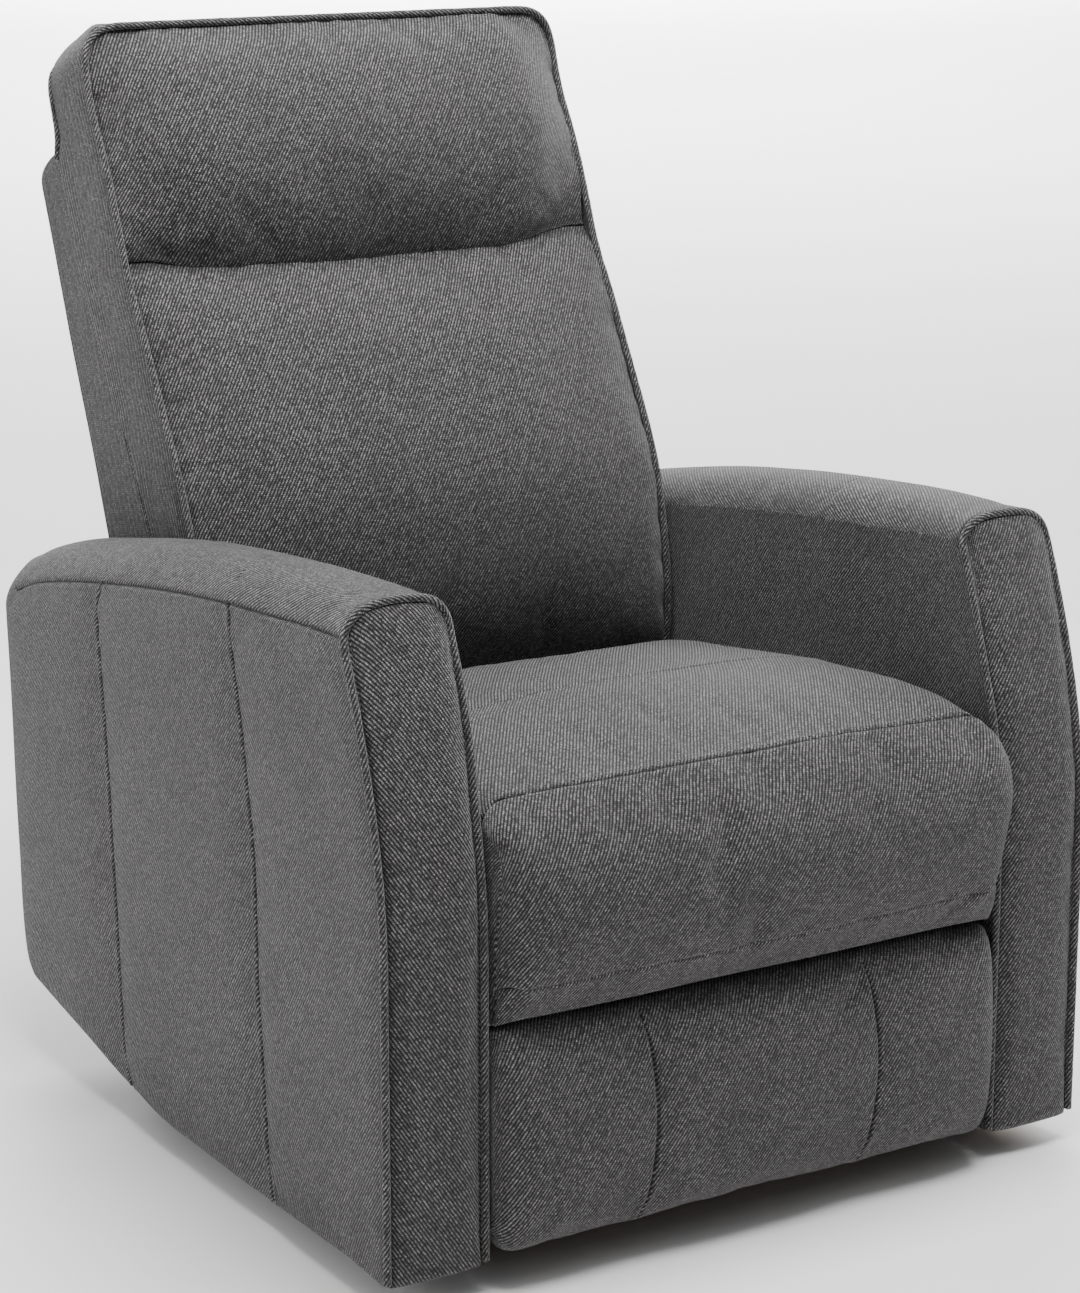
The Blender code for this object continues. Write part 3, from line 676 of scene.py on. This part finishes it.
def clear_arms(piece):
    """Flattens the sides of the seat where they lie between the arms. Only its nose bulges past."""
    points = read_points(piece.data)
    between = np.clip((points[:, 1] - (ARM_FRONT - 0.0120)) / 0.0060, 0, 1)
    limit = ARM_INNER - CORD_RADIUS - 0.0012
    kept = np.clip(points[:, 0], -limit, limit)
    points[:, 0] += (kept - points[:, 0]) * between
    write_points(piece.data, points)


def seat_section(s, t):
    """The seat seen from the side: its front rolls down and tucks in under its own lip."""
    top = [(0.018, 0.447), (0.080, 0.453), (0.180, 0.448), (0.300, 0.433), (0.440, 0.417), (0.530, 0.402)]
    lip = [(-0.004, 0.252), (0.020, 0.248), (0.042, 0.250), (0.047, 0.262), (0.048, 0.300), (0.058, 0.3145)]
    bottom = lip + [(0.300, 0.3150), (0.535, 0.3165)]
    front = [(-0.004, 0.252), (-0.013, 0.272), (-0.021, 0.314), (-0.027, 0.366), (-0.021, 0.405)]
    front += [(-0.004, 0.434), (0.018, 0.447)]
    rear = [(0.535, 0.3165), (0.545, 0.345), (0.545, 0.375), (0.530, 0.402)]
    return fill(bottom, top, front, rear, s, t)


def seat_form(x, s, t, a, b):
    """The seat's crown, its rounded sides, and its nose, which bulges a little past the arms."""
    share = x / SEAT_HALF
    swell = 1 - np.abs(share) ** 2.2
    inset = edge_drop(x, SEAT_HALF, 0.024)
    crown = curve_at(s, [0, 0.15, 0.4, 0.7, 0.9, 1], [0.004, 0.012, 0.018, 0.018, 0.010, 0.0])
    b = b + crown * swell * t**3 - inset * t**4
    nose = (1 - s) ** 6
    a = a - 0.008 * swell * nose * np.sin(math.pi * t)
    a = a + 0.9 * inset * nose * np.sin(math.pi * (0.2 + 0.8 * t))
    b = b - 0.3 * inset * nose * (1 - t) ** 4
    wide = curve_at(t, [0, 0.4, 0.6, 0.8, 1], [0, 0.006, 0.0085, 0.006, 0])
    narrow = curve_at(t, [0, 0.4, 0.75, 0.9, 1], [-0.007, -0.006, -0.004, 0.003, 0])
    bulge = 1 + np.where(x > 0, wide, narrow) * nose / SEAT_HALF
    lift = 0.010 * hump(s - SEAT_CROSS_SEAM, 0.05) * share
    return x * bulge, a + lift * t**3, b


def build_seat(finishes):
    s, t = gather(56, [0.0, SEAT_CROSS_SEAM], 0.0022), gather(26, [SEAT_HEM, 1.0], 0.0052)
    pad = Pad("seat_upholstery", seat_section(s, t), rounded(SEAT_HALF, 66, 0.86), seat_form, upright)
    seam = pad.along(("top", ALL, 0))
    cross = pad.along(("top", ALL, nearest(s, SEAT_CROSS_SEAM)))
    hem = pad.along(("front", ALL, nearest(t, SEAT_HEM)))
    sides = [pad.index[side][len(s) // 5 :].ravel() for side in ("left", "right")]
    held = [(seam, 0.97), *pad.hold(1.0, "bottom", "rear")] + [(side, 0.9) for side in sides]
    inflate(pad, held, 0.014, 4.0, 0.012)
    stitched = pad.along(("top", ALL, STITCHED_ROW))
    subdivide(pad.piece, seam, 0.3)
    press_seam(pad.piece, seam, 0.0016, 0.0022)
    press_seam(pad.piece, hem, 0.0009, 0.0020, 0.5)
    press_seam(pad.piece, cross, 0.0010, 0.0022, 0.35)
    ruffle(pad.piece, 0.13, 0.0030, 5)
    clear_arms(pad.piece)
    upholster(finishes, pad, "seat_carriage", 0.75, "seat_cushion")
    points, normals = read_points(pad.piece.data), read_normals(pad.piece.data)
    for name, row in (("front_stitches", stitched), ("hem_stitches", hem)):
        inner = row[2:-2]
        thread = stitches(f"seat_{name}", smooth_path(points[inner], 2), normals[inner])
        dress(thread, finishes["thread"], "seat_carriage")


# Footrest


def build_footrest(finishes):
    rear_depth, half = PAD_HIGH.y - ARM_FRONT, PAD_HALF
    low, high = PAD_LOW.z, PAD_HIGH.z
    front = [(-0.011, 0.040), (-0.020, 0.068), (-0.023, 0.139), (-0.020, 0.210), (-0.011, 0.237)]
    top = [(-0.011, 0.237), (0.002, high), (rear_depth, high - 0.002)]
    bottom = [(-0.011, 0.040), (0.002, low), (rear_depth, low + 0.002)]
    section = fill(bottom, top, front, [bottom[-1], top[-1]], even(5), even(28))
    shares = gather(66, [0.5 + place / (2 * half) for place in FOOTREST_SEAMS], 0.0022)
    xs = half * (2 * shares - 1)

    def form(x, s, t, a, b):
        inset = edge_drop(x, half, 0.024)
        swell = 1 - np.abs(x / half) ** 3
        bow = sum(hump(x - place, 0.05) for place in FOOTREST_SEAMS)
        a = a - 0.006 * swell * np.sin(math.pi * t) * (1 - s) + inset * 0.8 * (1 - s) ** 2
        b = b + inset * (0.7 * (1 - t) ** 6 - 0.35 * t**6)
        return x + bow * (0.009 * np.sin(math.pi * t) - 0.004), a, b

    pad = Pad("footrest_upholstery", section, xs, form, upright)
    columns = [nearest(xs, place) for place in FOOTREST_SEAMS]
    lines = [pad.along(("front", column, ALL)) for column in columns]
    held = [(line, 0.97) for line in lines] + pad.hold(1.0, "rear")
    inflate(pad, held, 0.007, 4.0, 0.008)
    subdivide(pad.piece, lines[0] + lines[1], 0.3)
    for line in lines:
        press_seam(pad.piece, line, 0.0018, 0.0018, 0.45)
    ruffle(pad.piece, 0.10, 0.0018, 9)
    upholster(finishes, pad, "footrest", 0.8, "footrest_pad")


# Back


def frame_line(low, high, ahead):
    """The line of the back frame's front edge, which comes forward low down, moved ahead of it."""
    ups = np.linspace(low, high, 40)
    forward = 0.045 * (1.0 - np.clip((ups - 0.250) / 0.300, 0.0, 1.0))
    return np.column_stack([-forward - ahead, ups])


# The line of the piping down the side of the back: along the lumbar part, then along the headrest
LUMBAR_FRONT = [(-0.068, 0.062), (-0.086, 0.085), (-0.110, 0.150), (-0.127, 0.240), (-0.127, 0.300)]
LUMBAR_FRONT += [(-0.117, 0.380), (-0.107, 0.460), (-0.098, 0.508), (-0.088, 0.529)]
HEADREST_FRONT = [(-0.088, 0.533), (-0.098, 0.575), (-0.096, 0.630), (-0.088, 0.690)]
HEADREST_FRONT += [(-0.092, 0.740), (-0.100, 0.772)]
HEADREST_TOP = [(-0.100, 0.772), (-0.075, 0.781), (-0.040, 0.783), (-0.005, 0.768)]
HEADREST_HIGH = HEADREST_TOP[2][1] + 0.001
HEADREST_CORNER = 0.044
# Where the groove between the lumbar part and the headrest lies, and where the outside cover ends
BACK_GROOVE = 0.531
COVER_TOP = 0.690
# Grid row of the boxing from which its rear edge stands clear of the outside cover
BOXING_FREE = 82
# How far the lumbar cushion stands out of its piping, from its bottom to its top
LUMBAR_SHARES = (0.0, 0.15, 0.35, 0.6, 0.8, 0.93, 1.0)
LUMBAR_CROWN = (0.0, 0.018, 0.027, 0.028, 0.024, 0.015, 0.004)
# How far the headrest roll stands out of its piping, from its bottom to its top
ROLL_SHARES = (0.0, 0.1, 0.2, 0.3, 0.4, 0.5, 0.6, 0.7, 0.8, 0.9, 1.0)
ROLL_CROWN = (0.010, 0.026, 0.036, 0.043, 0.049, 0.053, 0.055, 0.053, 0.046, 0.031, 0.002)


def build_lumbar(finishes):
    rear = frame_line(0.060, 0.541, 0.003)
    top = [LUMBAR_FRONT[-1], (-0.078, 0.540), rear[-1]]
    section = fill([LUMBAR_FRONT[0], rear[0]], top, LUMBAR_FRONT, rear, even(11), even(62))
    half = BACK_HALF - PAD_INSET
    xs = edged(half, 58)

    def form(x, s, t, a, b):
        share = np.abs(x) / BACK_HALF
        swell = (1 - share**2.6) * (1 - s)
        crown = curve_at(t, LUMBAR_SHARES, LUMBAR_CROWN)
        tuck = shoulder(half - np.abs(x), 0.0040) * (1 - s) ** 4
        return x, a - crown * swell + tuck, b

    pad = Pad("lumbar_upholstery", section, xs, form, leaning)
    left = pad.along(("front", 0, ALL))
    right = pad.along(("front", -1, ALL))
    held = [(left, 0.98), (right, 0.98), *pad.hold(1.0, "rear")]
    held += pad.hold(0.85, "left", "right") + pad.hold(0.9, "top")
    inflate(pad, held, 0.016, 4.0, 0.014)
    edges = [pad.points()[left], pad.points()[right]]
    crest = pad.points()[pad.along(("top", ALL, 0))]
    subdivide(pad.piece, left + right, 0.8)
    ruffle(pad.piece, 0.14, 0.0030, 11)
    for edge in edges:
        shade_line(pad.piece, edge, 0.0040, 0.85)
    shade_line(pad.piece, crest, 0.0090, 0.55)
    upholster(finishes, pad, "back", 0.75, "back_lumbar_cushion")


def build_headrest(finishes):
    rear = [(-0.003, 0.545), (-0.003, 0.700), (-0.005, 0.768)]
    bottom = [HEADREST_FRONT[0], (-0.076, 0.544), rear[0]]
    t = edged(0.5, 40, (False, True)) + 0.5
    section = fill(bottom, HEADREST_TOP, HEADREST_FRONT, rear, even(12), t)
    length = line_length(section.grid[0])[-1]
    half = BACK_HALF - PAD_INSET
    xs = edged(half, 60)

    def form(x, s, t, a, b):
        share = np.abs(x) / BACK_HALF
        low_down = np.clip(1 - t / 0.35, 0, 1)
        edge = ease((0.99 - share) / (0.30 + 0.10 * low_down))
        swell = edge * (1 - 0.18 * share**2) * (1 - s) ** 0.7
        crown = curve_at(t, ROLL_SHARES, ROLL_CROWN)
        sag = 0.019 * ease((0.93 - share) / 0.34) * (1 - t) ** 5 * (1 - s)
        gap = np.minimum(half - np.abs(x), (1 - t) * length)
        tuck = shoulder(gap, 0.0040) * (1 - s) ** 4
        x = x * (1 - edge_drop(b, HEADREST_HIGH, HEADREST_CORNER) / BACK_HALF)
        return x, a - crown * swell + tuck, b - sag

    pad = Pad("headrest_upholstery", section, xs, form, leaning)
    border = pad.along(*rim("front"))
    held = [*pad.hold(0.8, "bottom"), (border, 0.98), *pad.hold(1.0, "rear")]
    held += [(pad.index["bottom"][:, -4:].ravel(), 1.0), *pad.hold(0.85, "left", "right")]
    inflate(pad, held, 0.016, 4.0, 0.014)
    edge = pad.points()[border]
    under = pad.points()[pad.along(("bottom", ALL, 2))]
    subdivide(pad.piece, border, 0.8)
    pinch_roll(pad.piece)
    ruffle(pad.piece, 0.12, 0.0030, 17)
    shade_line(pad.piece, edge, 0.0040, 0.85)
    shade_line(pad.piece, under, 0.0160, 0.55)
    upholster(finishes, pad, "back", 0.85, "headrest_cushion")


def pinch_roll(piece):
    """Small folds that fan out from the two lower corners of the headrest roll."""
    points = read_points(piece.data)
    corner = leaning(np.array([0.0]), np.array([-0.110]), np.array([0.535]))[0]
    lift = np.zeros(len(points))
    for side in (-1, 1):
        across = (BACK_HALF - 0.030) - side * points[:, 0]
        up = (points[:, 2] - corner[2]) / math.cos(BACK_LEAN)
        reach = np.hypot(across, up)
        turn = np.arctan2(up, across)
        near = hump(reach - 0.045, 0.030) * (points[:, 1] < corner[1] + 0.020)
        lift += 0.0008 * np.sin(turn * 7 + side) * near
    push_out(piece, lift)


def build_boxing(finishes):
    """The strip of fabric that joins the front of the back to its rear, round both sides and the top."""
    front = LUMBAR_FRONT[:-1] + HEADREST_FRONT[1:]
    rear = frame_line(0.060, HEADREST_TOP[-1][1], 0.003)
    top = [*HEADREST_TOP[:-1], rear[-1]]
    section = fill([front[0], rear[0]], top, front, rear, even(10), even(96))
    half = BACK_HALF - PAD_INSET + BOXING_RISE

    def form(x, s, t, a, b):
        puff = 4 * s * (1 - s)
        crease = hump(b - BACK_GROOVE, 0.012)
        x = x * (1 + 0.0032 * puff * (1 - 0.5 * crease) / half)
        x = x * (1 - edge_drop(b, HEADREST_HIGH, HEADREST_CORNER) / half)
        lap = np.clip((s - 0.70) / 0.30, 0, 1) * np.clip((COVER_TOP - b) / 0.020, 0, 1)
        x = x * (1 + 0.0034 * lap * np.clip((b - 0.360) / 0.040, 0, 1) / half)
        return x, a + 0.010 * lap**2, b + 0.0020 * np.clip((t - 0.98) / 0.02, 0, 1) * (1 + puff)

    xs = np.linspace(-half, half, 60)
    pad = Pad("back_boxing", section, xs, form, leaning, ("left", "top", "right"))
    up, down = slice(BOXING_FREE, None), slice(None, BOXING_FREE - 1, -1)
    rear_edge = pad.along(("left", -1, up), ("top", ALL, -1), ("right", -1, down))
    front_edge = pad.along(("left", 0, ALL), ("top", ALL, 0), ("right", 0, REVERSED))
    front_path, rear_path = pad.points()[front_edge], pad.points()[rear_edge]
    thicken(pad.piece, BOXING_THICK)
    subdivide(pad.piece)
    ruffle(pad.piece, 0.05, 0.0014, 31)
    for path in (front_path, rear_path):
        shade_line(pad.piece, path, 0.0055, 0.8)
    upholster(finishes, pad, "back", 0.5)
    forward = np.array([0.0, -math.cos(BACK_LEAN), math.sin(BACK_LEAN)])
    build_cord(finishes, "back_front_piping", front_path + 0.0012 * forward, "back")
    build_cord(finishes, "back_rear_piping", rear_path, "back")


def build_cord(finishes, name, path, body):
    path = smooth_path(path, 5)
    path = smooth_path(resample(path, even(int(line_length(path)[-1] / 0.0045))), 3)
    cord = tube(name, path[1:-1], CORD_RADIUS, 12, wobble=0.08)
    return dress(cord, finishes["fabric"], body)


def build_back_cover(finishes):
    rear_out, high, low = 0.065, COVER_TOP, 0.045
    front = frame_line(low, high - 0.001, 0.0)
    rear = [(rear_out, low), (rear_out, high - 0.001)]
    section = fill([front[0], rear[0]], [front[-1], rear[-1]], front, rear, even(12), even(72))
    half = BACK_HALF
    xs = rounded(half, 70, 0.9)

    def form(x, s, t, a, b):
        swell = 1 - np.abs(x / half) ** 4
        a = a - edge_drop(x, half, 0.007) * s**2 + 0.006 * swell * s * np.sin(math.pi * t)
        a = a - 0.014 * np.clip((t - 0.95) / 0.05, 0, 1) ** 2 * s
        return x * (1 - edge_drop(b, high, 0.030) / half), a, b

    pad = Pad("back_outside_cover", section, xs, form, leaning, ("rear", "top", "left", "right"))
    edges = pad.along(*rim("rear"))
    thicken(pad.piece, COVER_THICK)
    subdivide(pad.piece, edges, 0.4)
    press_seam(pad.piece, edges, 0.0015, 0.0040)
    ruffle(pad.piece, 0.15, 0.0012, 21)
    upholster(finishes, pad, "back", 0.3, "back_outer_cover")
    build_back_flap(finishes, low)


def slab(name, front, rear, xs, tall, form, stand):
    """A flat piece of fabric between a front line and a rear line, two cells thick."""
    bottom, top = [front[0], rear[0]], [front[1], rear[1]]
    section = fill(bottom, top, front, rear, even(2), even(tall))
    return Pad(name, section, xs, form, stand)


def build_back_flap(finishes, high):
    """The lower end of the outside back, tucked behind the seat."""
    half = BACK_HALF - 0.018
    front = [(0.051, 0.0), (0.053, high + 0.004)]
    rear = [(0.060, 0.0), (0.064, high + 0.004)]
    xs = np.linspace(-half, half, 60)

    def form(x, s, t, a, b):
        return x, a, b

    pad = slab("back_lower_flap", front, rear, xs, 10, form, leaning)
    subdivide(pad.piece)
    upholster(finishes, pad, "back", 0.3)


def build_rear_base(finishes):
    low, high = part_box("rear_base_panel")
    near, far = low.y - ARM_FRONT, high.y - ARM_FRONT
    front, rear = [(near, low.z), (near, high.z)], [(far, low.z), (far, high.z)]
    xs = np.linspace(low.x, high.x, 64)

    def form(x, s, t, a, b):
        edge = (1 - np.abs(x / high.x) ** 6) * (1 - np.abs(2 * t - 1) ** 6)
        return x, a - 0.003 * (1 - edge) * s, b

    pad = slab("rear_base_cover", front, rear, xs, 32, form, upright)
    subdivide(pad.piece)
    ruffle(pad.piece, 0.12, 0.0008, 27)
    upholster(finishes, pad, "base", 0.3, "rear_base_panel")


# Materials


class Nodes:
    """Short calls that add nodes to a material and link them."""

    def __init__(self, name):
        self.material = bpy.data.materials.new(name)
        self.material.use_nodes = True
        self.tree = self.material.node_tree
        self.shader = self.tree.nodes["Principled BSDF"]

    def feed(self, socket, value):
        if isinstance(value, bpy.types.NodeSocket):
            self.tree.links.new(value, socket)
        else:
            socket.default_value = value

    def add(self, kind, output=0, settings=None, **inputs):
        node = self.tree.nodes.new(kind)
        for key, value in (settings or {}).items():
            setattr(node, key, value)
        for key, value in inputs.items():
            self.feed(node.inputs[key.replace("_", " ")], value)
        return node.outputs[output]

    def finish(self, relief, strength, distance, **inputs):
        """Feeds the shader's own sockets, and its normal from the relief of the surface."""
        inputs["Normal"] = self.add("ShaderNodeBump", Strength=strength, Distance=distance, Height=relief)
        for key, value in inputs.items():
            self.feed(self.shader.inputs[key.replace("_", " ")], value)
        return self.material

    def mottle(self, place, scale, detail=2.0):
        return self.add("ShaderNodeTexNoise", Vector=place, Scale=scale, Detail=detail)

    def math(self, operation, first, second=0.0, third=0.0):
        node = self.tree.nodes.new("ShaderNodeMath")
        node.operation = operation
        for socket, value in zip(node.inputs, (first, second, third)):
            self.feed(socket, value)
        return node.outputs[0]

    def ramp(self, value, stops):
        node = self.tree.nodes.new("ShaderNodeValToRGB")
        while len(node.color_ramp.elements) < len(stops):
            node.color_ramp.elements.new(0.5)
        for element, (place, colour) in zip(node.color_ramp.elements, stops):
            element.position = place
            element.color = (*colour, 1.0)
        self.feed(node.inputs[0], value)
        return node.outputs[0]

    def greys(self, value, *stops):
        """A grey that follows a value, from (value, grey level) pairs."""
        return self.ramp(value, [(place, grey(level)) for place, level in stops])

    def shade(self, colour, value, *stops):
        """The colour made lighter or darker by a grey that follows a value."""
        return self.tint(colour, 1.0, self.greys(value, *stops))

    def tint(self, colour, factor, by, mode="MULTIPLY"):
        node = self.tree.nodes.new("ShaderNodeMix")
        node.data_type = "RGBA"
        node.blend_type = mode
        self.feed(node.inputs["Factor"], factor)
        self.feed(node.inputs["A"], colour)
        self.feed(node.inputs["B"], by)
        return node.outputs["Result"]


def grey(level):
    return (level * 1.003, level * 0.998, level)


def make_fabric():
    """Charcoal heathered twill: slanted ribs of short floats, each float with its own tone."""
    n = Nodes("charcoal_twill")
    place = n.add("ShaderNodeUVMap", settings={"uv_map": "fabric"})
    split = n.tree.nodes.new("ShaderNodeSeparateXYZ")
    n.feed(split.inputs[0], place)
    u, v = split.outputs[0], split.outputs[1]
    sine, cosine = math.sin(RIB_ANGLE), math.cos(RIB_ANGLE)
    across = n.math("SUBTRACT", n.math("MULTIPLY", u, sine), n.math("MULTIPLY", v, cosine))
    along = n.math("ADD", n.math("MULTIPLY", u, cosine), n.math("MULTIPLY", v, sine))
    drift = n.mottle(place, 110.0)
    rib = n.math("ADD", n.math("DIVIDE", across, RIB_PITCH), n.math("MULTIPLY", drift, 0.42))
    ridge = n.math("SINE", n.math("MULTIPLY", rib, 2 * math.pi))
    ridge = n.math("MULTIPLY_ADD", ridge, 0.5, 0.5)
    number = n.math("FLOOR", n.math("SUBTRACT", rib, -0.25))
    offset = n.math("FRACT", n.math("MULTIPLY", number, 0.37))
    offset = n.math("MULTIPLY_ADD", drift, 0.6, offset)
    step = n.math("ADD", n.math("DIVIDE", along, FLOAT_LENGTH), offset)
    cell = n.add("ShaderNodeCombineXYZ", X=number, Y=n.math("FLOOR", step))
    tone = n.add("ShaderNodeTexWhiteNoise", Vector=cell, settings={"noise_dimensions": "2D"})
    float_rise = n.math("SINE", n.math("MULTIPLY", n.math("FRACT", step), math.pi))
    height = n.math("MULTIPLY", ridge, n.math("MULTIPLY_ADD", float_rise, 0.45, 0.55))
    yarn = n.greys(tone, (0.0, 0.029), (0.25, 0.054), (0.60, 0.079), (1.0, 0.122))
    # The ribs' relief is painted into the colour too: painted shade in the valleys between ribs, painted
    # light on their ridges.
    colour = n.shade(yarn, height, (0.0, 0.08), (0.35, 0.46), (1.0, 2.10))
    cloud = n.mottle(place, 9.0, 4.0)
    colour = n.shade(colour, cloud, (0.3, 0.90), (0.7, 1.08))
    fleck = n.mottle(place, 300.0)
    colour = n.shade(colour, fleck, (0.36, 0.66), (0.50, 1.0), (0.64, 1.26))
    speck = n.mottle(place, 1100.0, 1.0)
    colour = n.shade(colour, speck, (0.35, 0.52), (0.50, 0.98), (0.65, 1.52))
    # Pointiness lightens convex edges, which is wear, and darkens hollows, which is painted shade.
    convexity = n.add("ShaderNodeNewGeometry", output="Pointiness")
    colour = n.shade(colour, convexity, (0.46, 0.86), (0.50, 1.0), (0.56, 1.14))
    # Painted shade: the crease attribute darkens the colour at seam bottoms, beside piping and under the
    # headrest roll and lumbar crest.
    crease = n.add("ShaderNodeAttribute", output="Fac", settings={"attribute_name": "crease"})
    colour = n.shade(colour, crease, (0.0, 1.0), (1.0, 0.06))
    fuzz = n.mottle(place, 1800.0)
    relief = n.math("ADD", height, n.math("MULTIPLY", fuzz, 0.25))
    rough = n.math("MULTIPLY_ADD", tone, 0.14, 0.80)
    sheen = {"Sheen Weight": 0.18, "Sheen Roughness": 0.45, "Specular IOR Level": 0.25}
    return n.finish(relief, 0.9, 0.0008, Base_Color=colour, Roughness=rough, **sheen)


def make_thread():
    n = Nodes("sewing_thread")
    place = n.add("ShaderNodeTexCoord", output="Object")
    twist = n.mottle(place, 2500.0, 1.0)
    colour = n.greys(twist, (0.3, 0.030), (0.7, 0.075))
    return n.finish(twist, 0.5, 0.0002, Base_Color=colour, Roughness=0.6)


def make_wood():
    """Planed softwood: growth rings stretched along the board, with a fine pore grain."""
    n = Nodes("planed_wood")
    place = n.add("ShaderNodeTexCoord", output="Object")
    stretch = n.add("ShaderNodeMapping", Vector=place, Scale=(18.0, 3.0, 14.0))
    warp = n.mottle(stretch, 1.2, 5.0)
    rings = n.math("FRACT", n.math("MULTIPLY", warp, 9.0))
    fine = n.add("ShaderNodeMapping", Vector=place, Scale=(900.0, 60.0, 900.0))
    pores = n.add("ShaderNodeTexNoise", Vector=fine, Detail=3.0)
    colour = n.ramp(rings, [(0.0, (0.50, 0.34, 0.19)), (0.6, (0.61, 0.44, 0.27)), (1.0, (0.45, 0.29, 0.15))])
    colour = n.tint(colour, 0.5, n.ramp(pores, [(0.35, (0.6, 0.55, 0.5)), (0.6, (1.0, 1.0, 1.0))]))
    rough = n.math("MULTIPLY_ADD", pores, 0.25, 0.55)
    return n.finish(pores, 0.3, 0.0004, Base_Color=colour, Roughness=rough)


def make_steel(name, colour, roughness):
    """Coated steel with an orange-peel surface, lighter where its edges have rubbed."""
    n = Nodes(name)
    place = n.add("ShaderNodeTexCoord", output="Object")
    peel = n.mottle(place, 420.0, 3.0)
    smear = n.mottle(place, 22.0, 4.0)
    convexity = n.add("ShaderNodeNewGeometry", output="Pointiness")
    bright = tuple(min(1.0, 2.4 * c + 0.06) for c in colour)
    edge = n.ramp(n.math("MULTIPLY_ADD", smear, 0.05, convexity), [(0.55, (0, 0, 0)), (0.60, (1, 1, 1))])
    base = n.ramp(smear, [(0.3, tuple(0.8 * c for c in colour)), (0.7, tuple(1.25 * c for c in colour))])
    colour = n.tint(base, edge, (*bright, 1.0), "MIX")
    rough = n.math("MULTIPLY_ADD", smear, 0.2, roughness - 0.1)
    return n.finish(peel, 0.15, 0.0003, Base_Color=colour, Roughness=rough, Metallic=0.85)


def make_plastic():
    n = Nodes("moulded_plastic")
    place = n.add("ShaderNodeTexCoord", output="Object")
    grain = n.add("ShaderNodeTexVoronoi", Vector=place, Scale=900.0)
    scuff = n.mottle(place, 45.0, 6.0)
    colour = n.greys(scuff, (0.35, 0.014), (0.75, 0.035))
    rough = n.math("MULTIPLY_ADD", scuff, 0.3, 0.35)
    return n.finish(grain, 0.25, 0.0002, Base_Color=colour, Roughness=rough)


def dress_frame(finishes):
    """The CAD nodes that stay in view get their finished materials."""
    kinds = dict.fromkeys(("bracket", "tube", "plate", "link"), "steel")
    kinds.update(spring="spring", _foot="plastic")
    for name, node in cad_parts.items():
        kind = next((finish for word, finish in kinds.items() if word in name), "wood")
        for slot in node.material_slots:
            slot.material = finishes[kind]


# Camera, floor and lights


def aim(thing, target):
    thing.rotation_euler = (Vector(target) - thing.location).to_track_quat("-Z", "Y").to_euler()


def make_camera():
    data = bpy.data.cameras.new("camera")
    data.lens = 95.2
    data.clip_start, data.clip_end = 0.1, 60.0
    camera = bpy.data.objects.new("camera", data)
    bpy.context.scene.collection.objects.link(camera)
    turn, pitch, reach = math.radians(32.0), math.radians(14.4), 3.278
    target = Vector((-0.0408, ARM_FRONT + 0.300, 0.4927))
    ahead = Vector((math.sin(turn) * math.cos(pitch), math.cos(turn) * math.cos(pitch), -math.sin(pitch)))
    camera.location = target - ahead * reach
    aim(camera, target)
    bpy.context.scene.camera = camera


def make_floor():
    reach = 30.0
    spots = reach * np.array([(-1, -1, 0), (1, -1, 0), (1, 1, 0), (-1, 1, 0)], float)
    floor = mesh_object("studio_floor", spots - np.array([0, 0, 0.0005]), np.array([(0, 1, 2, 3)]))
    n = Nodes("studio_paper")
    place = n.add("ShaderNodeTexCoord", output="Object")
    fibre = n.mottle(place, 3.0)
    n.feed(n.shader.inputs["Base Color"], n.greys(fibre, (0.2, 0.80), (0.8, 0.83)))
    n.feed(n.shader.inputs["Roughness"], 0.9)
    floor.data.materials.append(n.material)


def make_light(name, spot, target, size, power):
    data = bpy.data.lights.new(name, "AREA")
    data.shape = "DISK"
    data.size, data.energy = size, power
    light = bpy.data.objects.new(name, data)
    light.location = spot
    bpy.context.scene.collection.objects.link(light)
    aim(light, target)


def make_studio():
    """Soft light from above and from the side of the chair's left arm."""
    world = bpy.data.worlds.new("studio")
    world.use_nodes = True
    tree = world.node_tree
    place = tree.nodes.new("ShaderNodeTexCoord")
    split = tree.nodes.new("ShaderNodeSeparateXYZ")
    ramp = tree.nodes.new("ShaderNodeValToRGB")
    ramp.color_ramp.elements[0].color = (0.24, 0.24, 0.24, 1.0)
    ramp.color_ramp.elements[0].position = 0.5
    ramp.color_ramp.elements[1].color = (1.20, 1.20, 1.20, 1.0)
    tree.links.new(place.outputs["Generated"], split.inputs[0])
    tree.links.new(split.outputs[2], ramp.inputs[0])
    tree.links.new(ramp.outputs[0], tree.nodes["Background"].inputs["Color"])
    tree.nodes["Background"].inputs["Strength"].default_value = 0.74
    bpy.context.scene.world = world
    middle = (0.0, 0.0, 0.5)
    for reach, power in ((1.0, 2300.0), (2.1, 6500.0)):
        x, y = 5.0 * reach, 8.5 * reach
        make_light("backdrop", (x, y, 6.0), (x, y, 0.0), 8.0, power)
    make_light("side", (-3.2, -0.1, 1.2), middle, 1.8, 48.0)
    make_light("top", (0.1, -0.5, 3.4), middle, 2.0, 216.0)


def main():
    make_camera()
    make_floor()
    make_studio()
    finishes = {
        "fabric": make_fabric(),
        "thread": make_thread(),
        "wood": make_wood(),
        "steel": make_steel("black_steel", (0.030, 0.030, 0.032), 0.45),
        "spring": make_steel("spring_steel", (0.24, 0.24, 0.25), 0.35),
        "plastic": make_plastic(),
    }
    dress_frame(finishes)
    for name, side in SIDES:
        build_arm(finishes, name, side)
    build_seat(finishes)
    build_footrest(finishes)
    build_lumbar(finishes)
    build_headrest(finishes)
    build_boxing(finishes)
    build_back_cover(finishes)
    build_rear_base(finishes)


main()
